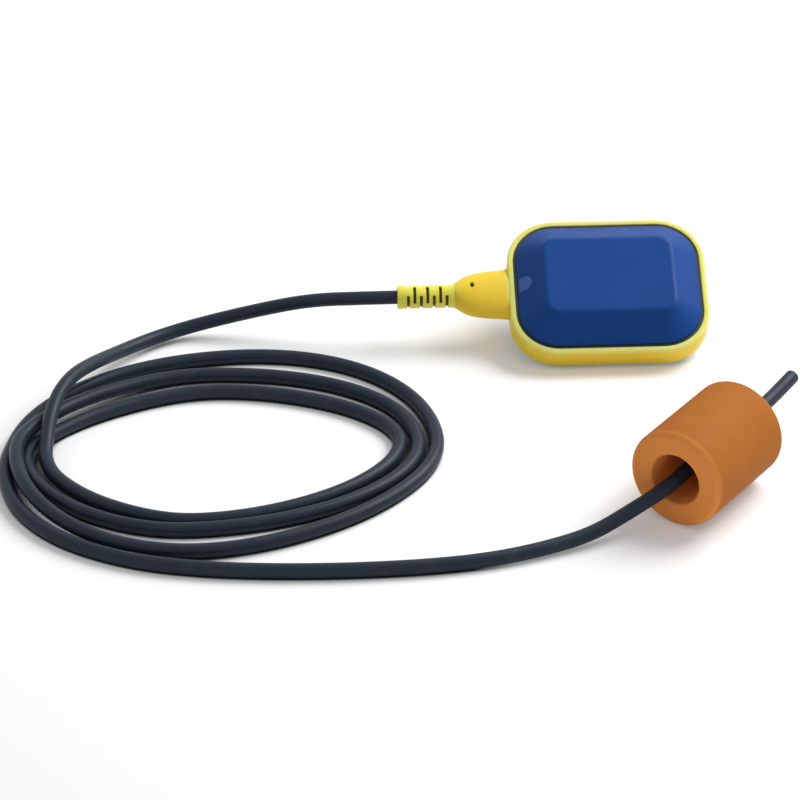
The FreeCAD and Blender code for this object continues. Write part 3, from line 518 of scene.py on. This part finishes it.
def slot_wedge(bm, low, high, middle, half):
    """Closed ring sector from a slot's floor to outside the sleeve, a little wider at its mouth."""
    steps = range(-SLOT_ARC_STEPS, SLOT_ARC_STEPS + 1)
    angles = [math.radians(middle + half * i / SLOT_ARC_STEPS) for i in steps]
    rows = []
    for radius, grow in SLOT_ROWS:
        left = ring_loop(bm, low - grow, radius, angles)
        rows.append((left, ring_loop(bm, high + grow, radius, angles)))
    # Strips of the section from start to end
    section = [left for left, right in rows] + [right for left, right in reversed(rows)]
    for i in range(len(section)):
        a, b = section[i], section[(i + 1) % len(section)]
        for k in range(len(angles) - 1):
            bm.faces.new((a[k], a[k + 1], b[k + 1], b[k]))
    bm.faces.new([line[0] for line in section])
    bm.faces.new([line[-1] for line in section])


def strain_relief():
    """Sleeve with deep slots that alternate between its sides and its top and bottom."""
    # Rounded end, straight outside, collar at the neck, plug in the neck's socket, and the bore
    profile = [(BOOT_END + x, BOOT_RADIUS - drawn_in)
               for x, drawn_in in ((0.0, 0.55), (0.12, 0.26), (0.32, 0.09))]
    profile += [(BOOT_END + x, BOOT_RADIUS) for x in (0.6, 15.0)]
    profile += [(NECK_END - 1.2, BOOT_RADIUS), (NECK_END - 0.55, 6.28), (NECK_END, 6.3)]
    profile += [(NECK_END + x, SOCKET_RADIUS) for x in (0.01, SOCKET_DEPTH)]
    profile += [(NECK_END + SOCKET_DEPTH, BOOT_BORE), (BOOT_END + 0.25, BOOT_BORE)]
    profile += [(BOOT_END, BOOT_BORE + 0.25)]
    angles = round_angles(BOOT_STEPS)
    bm = bmesh.new()
    skin(bm, [ring_loop(bm, x, r, angles) for x, r in profile], True)
    mesh = closed_mesh("strain_relief", bm)
    bm = bmesh.new()
    for k in range(SLOT_COUNT):
        low = BOOT_END + FIRST_SLOT + SLOT_PITCH * k - SLOT_WIDTH / 2
        middle, half = SIDE_SLOT if k % 2 == 0 else TOP_SLOT
        for opposite in (0, 180):
            slot_wedge(bm, low, low + SLOT_WIDTH, middle + opposite, half)
    mesh = boolean_cut(mesh, closed_mesh("slots", bm))
    obj = new_object("strain_relief", mesh, FLOAT_PLACE, "float_switch", "boot_plastic", 30)
    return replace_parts(obj, "cable_boot")


# ---- the counterweight ----
WEIGHT_FRONT, WEIGHT_BACK, WEIGHT_RADIUS, WEIGHT_RIM = -30.5, 30.5, 25.0, 3.0
SLEEVE_STEPS, CORE_STEPS = 128, 112
# Radius of the sleeve's bore, and of the core and cap in it
JOINT_RADIUS, CORE_RADIUS, CAP_RADIUS = 21.92, 21.9, 21.85
MOUTH_RADIUS, MOUTH_EDGE = 13.0, 1.3
# The bore narrows to a throat, which ends at a seat with a hole for the cable
THROAT, SEAT, THROAT_RADIUS, CABLE_HOLE = 13.5, 22.5, 8.4, 4.4
CORE_BACK, BALLAST_BORE, CORE_FLANGE = 25.45, 17.1, 5
CAP_FRONT = 25.5


def counterweight():
    """Sleeve with soft rims, the flanged core with its narrowing bore, and the cap behind it."""
    front, back, inner = WEIGHT_FRONT, WEIGHT_BACK, WEIGHT_RADIUS - WEIGHT_RIM
    sleeve = [(front + 0.004, JOINT_RADIUS)]
    sleeve += [(x, r) for r, x in arc((inner, front + WEIGHT_RIM), WEIGHT_RIM, 270, 360, 10)]
    sleeve += [(x, WEIGHT_RADIUS) for x in (-20, -10, 0, 10, 20)]
    sleeve += [(x, r) for r, x in arc((inner, back - WEIGHT_RIM), WEIGHT_RIM, 0, 90, 10)]
    sleeve += [(back, JOINT_RADIUS)]
    core = [(front, CORE_RADIUS), (front, 20.5), (front + 0.1, 17.5)]
    mouth = (MOUTH_RADIUS + MOUTH_EDGE, front + 1.42)
    core += [(x, r) for r, x in arc(mouth, MOUTH_EDGE, 270, 180, 7)]
    core += [(front + 12, 11.8), (front + 28, 10.1), (THROAT, THROAT_RADIUS), (SEAT, THROAT_RADIUS)]
    core += [(SEAT, CABLE_HOLE), (CORE_BACK, CABLE_HOLE), (CORE_BACK, BALLAST_BORE)]
    core += [(front + CORE_FLANGE, BALLAST_BORE), (front + CORE_FLANGE, CORE_RADIUS)]
    cap = [(CAP_FRONT, CAP_RADIUS), (CAP_FRONT, CABLE_HOLE), (back - 0.3, CABLE_HOLE)]
    cap += [(back, CABLE_HOLE + 0.3), (back - 0.1, 12.0), (back, 20.5), (back, CORE_RADIUS)]
    pieces = []
    for name, profile, steps, node in (("weight_sleeve", sleeve, SLEEVE_STEPS, "weight_shell"),
                                       ("weight_funnel", core, CORE_STEPS, "weight_core"),
                                       ("weight_end", cap, CORE_STEPS, "weight_cap")):
        piece = turned(name, profile, steps, "weight", "weight_plastic", WEIGHT_PLACE)
        pieces.append(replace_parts(piece, node))
    return pieces


# ---- the cable's cut end ----
SHEATH_OUTER, SHEATH_INNER, SHEATH_EDGE = 3.6, 2.2, 1.3
CORES_FROM_AXIS, FIRST_CORE_ANGLE = 1.08, 0.4
CORE_OUTER, WIRE_RADIUS, ON_AXIS = 0.92, 0.55, 0.02


def cable_end():
    """Cut end of the sheath, its rim softened, with the filler and the three cores showing."""
    low, high = by_weight(*THROUGH_WEIGHT[-1]), by_weight(*CABLE_END)
    direction = (by_weight(*CABLE_END) - by_weight(*THROUGH_WEIGHT[-2])).normalized()
    place = Matrix.Translation(low) @ direction.to_track_quat("X", "Z").to_matrix().to_4x4()
    reach = (high - low).length / MM

    def piece(name, profile, steps, slot_name, where):
        return turned(name, profile, steps, "float_switch", slot_name, where)

    rim = [(-0.6, SHEATH_INNER), (-0.6, SHEATH_OUTER), (reach - SHEATH_EDGE, SHEATH_OUTER)]
    edge = (SHEATH_OUTER - SHEATH_EDGE, reach - SHEATH_EDGE)
    rim += [(x, r) for r, x in arc(edge, SHEATH_EDGE, 0, 90, 7)]
    rim += [(reach - 0.05, 2.1), (reach - 0.45, 2.05)]
    filler = [(-0.6, ON_AXIS), (-0.6, 2.1), (reach - 0.5, 2.1), (reach - 0.45, ON_AXIS)]
    pieces = [piece("cable_end_rim", rim, 40, "sheath_rubber", place),
              piece("cable_end_filler", filler, 40, "sheath_rubber", place)]
    core = [(-0.5, WIRE_RADIUS), (-0.5, CORE_OUTER), (reach - 0.28, CORE_OUTER),
            (reach - 0.2, CORE_OUTER - 0.08), (reach - 0.2, WIRE_RADIUS)]
    wire = [(-0.5, ON_AXIS), (-0.5, WIRE_RADIUS)]
    wire += [(reach - 0.2, WIRE_RADIUS), (reach - 0.14, ON_AXIS)]
    for k, colour in enumerate(("core_blue", "core_brown", "core_black")):
        a = FULL_TURN * k / 3 + FIRST_CORE_ANGLE
        aside = (0, CORES_FROM_AXIS * MM * math.cos(a), CORES_FROM_AXIS * MM * math.sin(a))
        shift = place @ Matrix.Translation(aside)
        pieces.append(piece("end_" + colour, core, 24, colour, shift))
        pieces.append(piece("end_wire_" + str(k + 1), wire, 20, "terminal_brass", shift))
    return pieces


float_cover(1)
float_cover(-1)
pads = [gate_pad(1), gate_pad(-1)]
float_ring()
neck()
strain_relief()
weight_pieces = counterweight()
end_pieces = cable_end()


# ---- materials ----
class Nodes:
    """Short way to add to a node tree. Numbers and colours are set, sockets are joined."""

    def __init__(self, tree):
        self.tree = tree

    def add(self, kind, **values):
        node = self.tree.nodes.new(kind)
        for key, value in values.items():
            setattr(node, key, value)
        return node

    def feed(self, socket, value):
        if isinstance(value, bpy.types.NodeSocket):
            self.tree.links.new(value, socket)
        elif socket.type == "RGBA":
            socket.default_value = (*value, 1.0)
        else:
            socket.default_value = value

    def calc(self, operation, a, b=0.0):
        node = self.add("ShaderNodeMath", operation=operation)
        self.feed(node.inputs[0], a)
        self.feed(node.inputs[1], b)
        return node.outputs["Value"]

    def between(self, value, low, high, out_low=0.0, out_high=1.0):
        node = self.add("ShaderNodeMapRange")
        names = ("Value", "From Min", "From Max", "To Min", "To Max")
        for name, number in zip(names, (value, low, high, out_low, out_high)):
            self.feed(node.inputs[name], number)
        return node.outputs["Result"]

    def mix(self, factor, a, b):
        node = self.add("ShaderNodeMix", data_type="RGBA")
        for name, value in (("Factor", factor), ("A", a), ("B", b)):
            self.feed(node.inputs[name], value)
        return node.outputs["Result"]

    def seen_or_mirrored(self):
        """1 for what the camera sees, straight on or in a gloss or glass, 0 for other light."""
        ray = self.add("ShaderNodeLightPath").outputs
        seen = self.calc("MAXIMUM", ray["Is Camera Ray"], ray["Is Glossy Ray"])
        return self.calc("MAXIMUM", seen, ray["Is Transmission Ray"])


class Surface(Nodes):
    """Nodes of one new material with its shader."""

    def __init__(self, name):
        self.material = bpy.data.materials.new(name)
        self.material.use_nodes = True
        super().__init__(self.material.node_tree)
        self.shader = self.tree.nodes["Principled BSDF"]

    def give(self, **values):
        """Inputs of the shader, their names written with underscores."""
        for name, value in values.items():
            self.feed(self.shader.inputs[name.replace("_", " ")], value)

    def point(self):
        return self.add("ShaderNodeTexCoord").outputs["Object"]

    def noise(self, scale, detail=3.0, rough=0.5, stretch=None):
        node = self.add("ShaderNodeTexNoise")
        for name, value in (("Scale", scale), ("Detail", detail), ("Roughness", rough)):
            self.feed(node.inputs[name], value)
        vector = self.point()
        if stretch is not None:
            mapping = self.add("ShaderNodeMapping")
            self.feed(mapping.inputs["Scale"], stretch)
            self.feed(mapping.inputs["Vector"], vector)
            vector = mapping.outputs["Vector"]
        self.feed(node.inputs["Vector"], vector)
        return node.outputs["Fac"]

    def soften(self, radius):
        """Normal that is rounded over edges."""
        node = self.add("ShaderNodeBevel", samples=8)
        self.feed(node.inputs["Radius"], radius)
        return node.outputs["Normal"]

    def edges(self, radius):
        """1 on convex and concave edges, 0 on plain faces."""
        plain = self.add("ShaderNodeNewGeometry").outputs["Normal"]
        dot = self.add("ShaderNodeVectorMath", operation="DOT_PRODUCT")
        self.feed(dot.inputs[0], self.soften(radius))
        self.feed(dot.inputs[1], plain)
        return self.between(dot.outputs["Value"], 0.98, 0.75)

    def bump(self, height, strength, distance, soft=None):
        node = self.add("ShaderNodeBump")
        for name, value in (("Height", height), ("Strength", strength), ("Distance", distance)):
            self.feed(node.inputs[name], value)
        if soft is not None:
            self.feed(node.inputs["Normal"], soft)
        self.give(Normal=node.outputs["Normal"])

    def along(self, place, direction):
        """Distance in metres from the middle of the float or weight, along one of its own axes."""
        moved = self.add("ShaderNodeVectorMath", operation="SUBTRACT")
        self.feed(moved.inputs[0], self.point())
        self.feed(moved.inputs[1], place.to_translation())
        dot = self.add("ShaderNodeVectorMath", operation="DOT_PRODUCT")
        self.feed(dot.inputs[0], moved.outputs["Vector"])
        self.feed(dot.inputs[1], place.to_3x3() @ Vector(direction))
        return dot.outputs["Value"]

    def from_axis(self, place):
        """Squared distance in square metres from the X axis of the float or weight."""
        y, z = self.along(place, (0, 1, 0)), self.along(place, (0, 0, 1))
        return self.calc("ADD", self.calc("MULTIPLY", y, y), self.calc("MULTIPLY", z, z))


# Masks for parts of a surface, where light and shade are painted. Their limits are in metres, and
# each fades from one to the other.
def lips_painted_sheen(n):
    """1 on the ring's two lips and on the edges beside them, which are painted paler as a painted
    sheen of the light from above, 0 on its side and on the neck.
    """
    height = n.calc("ABSOLUTE", n.along(FLOAT_PLACE, (0, 0, 1)))
    lip = n.between(height, 0.0050, 0.0062)
    on_ring = n.between(n.along(FLOAT_PLACE, (1, 0, 0)), (RING_END - 1.0) * MM, RING_END * MM)
    return n.calc("MULTIPLY", lip, on_ring)


def weight_front_painted_light(n):
    """1 on the weight's front face, its rim and its bore, which are painted lighter as painted
    light with a painted highlight on the rim, 0 on its outside.
    """
    front = n.between(n.along(WEIGHT_PLACE, (1, 0, 0)), -0.0298, -0.0272, 1.0, 0.0)
    bore = n.between(n.from_axis(WEIGHT_PLACE), 0.0140 ** 2, 0.0150 ** 2, 1.0, 0.0)
    return n.calc("MAXIMUM", front, bore)


def in_bore(n, near, far, start, stop):
    """1 nearer to the float's axis than near, from start to stop in millimetres, 0 beyond far."""
    deep = n.between(n.from_axis(FLOAT_PLACE), near ** 2, far ** 2, 1.0, 0.0)
    x = n.along(FLOAT_PLACE, (1, 0, 0))
    after = n.between(x, start * MM, (start + 1.0) * MM)
    before = n.between(x, stop * MM, (stop + 1.0) * MM, 1.0, 0.0)
    return n.calc("MULTIPLY", deep, n.calc("MULTIPLY", after, before))


def slot_floor_painted_shade(n):
    """1 on the floor of the strain relief's slots, where shade is painted dark, 0 on its outside.
    """
    return in_bore(n, 0.0052, 0.0059, BOOT_END + 1.5, RING_END)


def vent_painted_shade(n):
    """1 down in the neck's small slot, whose floor is painted dark as painted shade."""
    return in_bore(n, 0.0062, 0.0067, RING_END - 23.0, RING_END - 16.0)


# Scale of the noise that a plastic's grain is made of, and the grain's depth in metres
GRAIN_SCALE, GRAIN_DEPTH = 2600.0, 0.00003
# How far light goes into a translucent plastic, in metres, and how its colours differ in that
GLOW_REACH, GLOW_COLOURS = 0.004, (1.0, 0.42, 0.08)


def plastic(name, colour, shade, pale, rough=(0.34, 0.46), round_edge=0.0003, wear=0.35,
            specular=0.5, glow=0.0, edge_reach=0.0011, zones=()):
    """Moulded plastic: faint cloudiness, fine grain and edges worn pale.

    A zone is a mask and the colour it brings; the zones paint highlights, sheen and shade."""
    n = Surface(name)
    body = n.mix(n.between(n.noise(32.0, 4.0, 0.6), 0.35, 0.68), colour, shade)
    for mask, other in zones:
        # Each zone paints its colour over the body: a painted highlight, sheen or shade.
        body = n.mix(mask(n), body, other)
    if glow:
        n.give(Subsurface_Weight=glow, Subsurface_Radius=GLOW_COLOURS, Subsurface_Scale=GLOW_REACH)
    patches = n.between(n.noise(260.0, 5.0, 0.65), 0.38, 0.72, 0.25 * wear, wear)
    worn = n.calc("MULTIPLY", n.edges(edge_reach), patches)
    n.give(Base_Color=n.mix(worn, body, pale), Specular_IOR_Level=specular,
           Roughness=n.between(n.noise(95.0, 4.0, 0.6), 0.3, 0.75, *rough))
    n.bump(n.noise(GRAIN_SCALE, 2.0, 0.5), 0.35, GRAIN_DEPTH, n.soften(round_edge))
    return n.material


def sheath(name):
    """Extruded rubber sheath: fine grain, dull patches and a little dust."""
    n = Surface(name)
    dust = n.between(n.noise(70.0, 5.0, 0.65), 0.5, 0.78, 0.0, 0.34)
    n.give(Base_Color=n.mix(dust, (0.0170, 0.0255, 0.0425), (0.045, 0.059, 0.085)),
           Roughness=n.between(n.noise(140.0, 4.0, 0.6), 0.3, 0.75, 0.34, 0.48),
           Specular_IOR_Level=0.16)
    n.bump(n.noise(1900.0, 3.0, 0.6), 0.4, 0.00004)
    return n.material


def rubber(name):
    """Plain black rubber."""
    n = Surface(name)
    n.give(Base_Color=n.mix(n.noise(200.0), (0.010, 0.011, 0.012), (0.024, 0.025, 0.027)),
           Roughness=0.62)
    n.bump(n.noise(1500.0), 0.3, 0.00003)
    return n.material


def metal(name, colour, shade, rough):
    """Drawn or turned metal, its marks across Z."""
    n = Surface(name)
    n.give(Base_Color=n.mix(n.noise(240.0, 4.0, 0.6, (1, 1, 6)), colour, shade), Metallic=1.0,
           Roughness=n.between(n.noise(600.0, 3.0, 0.6, (1, 1, 8)), 0.3, 0.7, *rough))
    n.bump(n.noise(900.0, 3.0, 0.6, (1, 1, 8)), 0.2, 0.00002, n.soften(0.0001))
    return n.material


# A plastic's colour, its cloudy shade and its worn edges
PLASTICS = {
    "ring_plastic": ((0.92, 0.665, 0.055), (0.87, 0.60, 0.046), (0.90, 0.84, 0.22)),
    "boot_plastic": ((0.93, 0.86, 0.130), (0.89, 0.80, 0.110), (0.93, 0.89, 0.26)),
    "cover_plastic": ((0.0085, 0.060, 0.266), (0.0065, 0.052, 0.238), (0.028, 0.092, 0.32)),
    "gate_plastic": ((0.075, 0.145, 0.44), (0.062, 0.128, 0.40), (0.09, 0.17, 0.45)),
    "weight_plastic": ((0.450, 0.152, 0.026), (0.405, 0.134, 0.022), (0.78, 0.36, 0.10)),
    "grip_plastic": ((0.030, 0.026, 0.024), (0.022, 0.020, 0.018), (0.08, 0.07, 0.06)),
    "capsule_plastic": ((0.62, 0.62, 0.58), (0.56, 0.56, 0.52), (0.75, 0.75, 0.72)),
    "switch_plastic": ((0.024, 0.024, 0.026), (0.018, 0.018, 0.020), (0.07, 0.07, 0.07)),
    "core_blue": ((0.02, 0.12, 0.55), (0.018, 0.10, 0.48), (0.08, 0.22, 0.62)),
    "core_brown": ((0.16, 0.06, 0.025), (0.13, 0.05, 0.02), (0.25, 0.12, 0.06)),
    "core_black": ((0.02, 0.02, 0.02), (0.015, 0.015, 0.015), (0.06, 0.06, 0.06)),
}
# What sets the outer plastics apart from the plain ones
FINISHES = {
    # The ring's lips are painted paler and greener: a painted sheen.
    "ring_plastic": dict(wear=0.4, specular=0.17, glow=0.4,
                         # The neck's small slot is painted dark: painted shade.
                         zones=((lips_painted_sheen, (0.81, 0.79, 0.21)), (vent_painted_shade, (0.07, 0.035, 0.003)))),
    # The strain relief's slot floors are painted dark: painted shade in the deep slots.
    "boot_plastic": dict(wear=0.4, round_edge=0.0002, specular=0.17, glow=0.4,
                         zones=((slot_floor_painted_shade, (0.10, 0.065, 0.004)),)),
    "cover_plastic": dict(rough=(0.32, 0.44), wear=0.1, round_edge=0.0012, specular=0.1),
    "gate_plastic": dict(rough=(0.42, 0.52), specular=0.1),
    # The weight's front face, rim and bore are painted lighter: painted light, with a painted
    # highlight on the rim.
    "weight_plastic": dict(rough=(0.56, 0.68), wear=0.3, round_edge=0.00012, specular=0.06,
                           edge_reach=0.0008, zones=((weight_front_painted_light, (0.85, 0.305, 0.072)),)),
}
# A metal's two colours and the range of its roughness
METALS = {
    "ballast_iron": ((0.16, 0.16, 0.17), (0.10, 0.10, 0.11), (0.5, 0.75)),
    "bright_steel": ((0.60, 0.60, 0.62), (0.50, 0.50, 0.52), (0.2, 0.34)),
    "terminal_brass": ((0.74, 0.44, 0.20), (0.62, 0.34, 0.15), (0.24, 0.4)),
}
MATERIALS = {name: plastic(name, *colours, **FINISHES.get(name, {}))
             for name, colours in PLASTICS.items()}
MATERIALS.update({name: metal(name, *values) for name, values in METALS.items()})
MATERIALS["seal_rubber"] = rubber("seal_rubber")
MATERIALS["sheath_rubber"] = sheath("sheath_rubber")

# The CAD nodes that stay, by the slot they are made of
SLOT_NODES = {
    "seal_rubber": ("upper_seal", "lower_seal", "gland_bush", "capsule_seal"),
    "sheath_rubber": ("cable_inlet",),
    "capsule_plastic": ("cable_clamp", "capsule_base", "capsule_lid"),
    "bright_steel": ("clamp_screws", "capsule_screws", "contact_ball", "switch_lever", "lever_pin"),
    "switch_plastic": ("switch_case", "switch_plunger"),
    "terminal_brass": ("terminal_open", "terminal_common", "terminal_closed"),
    "core_blue": ("core_blue",),
    "core_brown": ("core_brown",),
    "core_black": ("core_black",),
    "ballast_iron": ("weight_ballast",),
    "grip_plastic": ("cable_grip",),
}


def paint():
    for slot_name, nodes in SLOT_NODES.items():
        for node in nodes:
            obj = frame["nodes"][node]
            for holder in obj.material_slots:
                holder.material = MATERIALS[slot_name]
            if not obj.material_slots:
                obj.data.materials.append(MATERIALS[slot_name])
    for pad in pads:
        pad.data.materials.append(MATERIALS["gate_plastic"])
    cable.data.materials.append(MATERIALS["sheath_rubber"])
    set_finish(cable, "sheath_rubber")
    for obj in bpy.data.objects:
        if obj.type == "MESH" and "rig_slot" in obj and not obj.data.materials:
            obj.data.materials.append(MATERIALS[obj["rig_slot"]])


paint()


# ---- floor and light ----
WHITE = (1.0, 1.0, 1.0)
FLOOR_SIZE, FLOOR_PLACE = 6.0, (-0.085, 0.6, -0.0001)
# Pale floor colour, and the painted shade in the coil's gaps
FLOOR_PALE, FLOOR_PAINTED_SHADE = (0.88, 0.88, 0.88), (0.05, 0.05, 0.055)
# How far a gap between the cable's turns is felt for the painted shade, and the openness from
# painted shade to pale
GAP_REACH, GAP_OPEN = 0.014, (0.31, 0.47)
# Right of the coil, beyond these X, the floor stays pale
COIL_RIGHT = (-0.055, -0.035)
FLOOR_LIFT = 0.16
SOFT_LIGHT = 0.42
KEY_PLACE, KEY_AIM, KEY_SIZE, KEY_POWER = (0.9, 0.5, 1.2), (0.0, -0.05, 0.0), 1.1, 29.0


def floor_material():
    """Pale floor with painted shade, dark in the narrow gaps between the cable's turns."""
    n = Surface("floor")
    gap = n.add("ShaderNodeAmbientOcclusion", samples=16)
    n.feed(gap.inputs["Distance"], GAP_REACH)
    axes = n.add("ShaderNodeSeparateXYZ")
    n.feed(axes.inputs["Vector"], n.add("ShaderNodeNewGeometry").outputs["Position"])
    # Painted shade: the floor is dark in the coil's narrow gaps and pale to the coil's right.
    pale = n.calc("MAXIMUM", n.between(gap.outputs["AO"], *GAP_OPEN),
                  n.between(axes.outputs["X"], *COIL_RIGHT))
    n.give(Base_Color=n.mix(pale, FLOOR_PAINTED_SHADE, FLOOR_PALE), Roughness=0.9, Specular_IOR_Level=0.1,
           Emission_Color=WHITE)
    lift = n.calc("MULTIPLY", n.seen_or_mirrored(), FLOOR_LIFT)
    n.give(Emission_Strength=n.calc("MULTIPLY", lift, pale))
    return n.material


def make_floor():
    bm = bmesh.new()
    bmesh.ops.create_grid(bm, x_segments=2, y_segments=2, size=FLOOR_SIZE)
    floor = link(bpy.data.objects.new("floor", to_mesh("floor", bm)))
    floor.location = FLOOR_PLACE
    floor.data.materials.append(floor_material())


def make_key_light():
    data = bpy.data.lights.new("key", "AREA")
    data.shape = "RECTANGLE"
    data.size = data.size_y = KEY_SIZE
    data.energy = KEY_POWER
    lamp = link(bpy.data.objects.new("key", data))
    lamp.location = KEY_PLACE
    face_along(lamp, Vector(KEY_AIM) - Vector(KEY_PLACE))


def make_world():
    """Soft white light from all round, with plain white for what the camera sees."""
    world = bpy.data.worlds.new("world")
    world.use_nodes = True
    n = Nodes(world.node_tree)
    soft = n.tree.nodes["Background"]
    plain = n.add("ShaderNodeBackground")
    for background, strength in ((soft, SOFT_LIGHT), (plain, 1.0)):
        n.feed(background.inputs["Color"], WHITE)
        n.feed(background.inputs["Strength"], strength)
    choice = n.add("ShaderNodeMixShader")
    n.feed(choice.inputs["Fac"], n.seen_or_mirrored())
    n.feed(choice.inputs[1], soft.outputs["Background"])
    n.feed(choice.inputs[2], plain.outputs["Background"])
    n.feed(n.tree.nodes["World Output"].inputs["Surface"], choice.outputs["Shader"])
    bpy.context.scene.world = world


make_floor()
make_key_light()
make_world()
bpy.context.scene.view_settings.view_transform = "Standard"

bpy.context.view_layer.update()
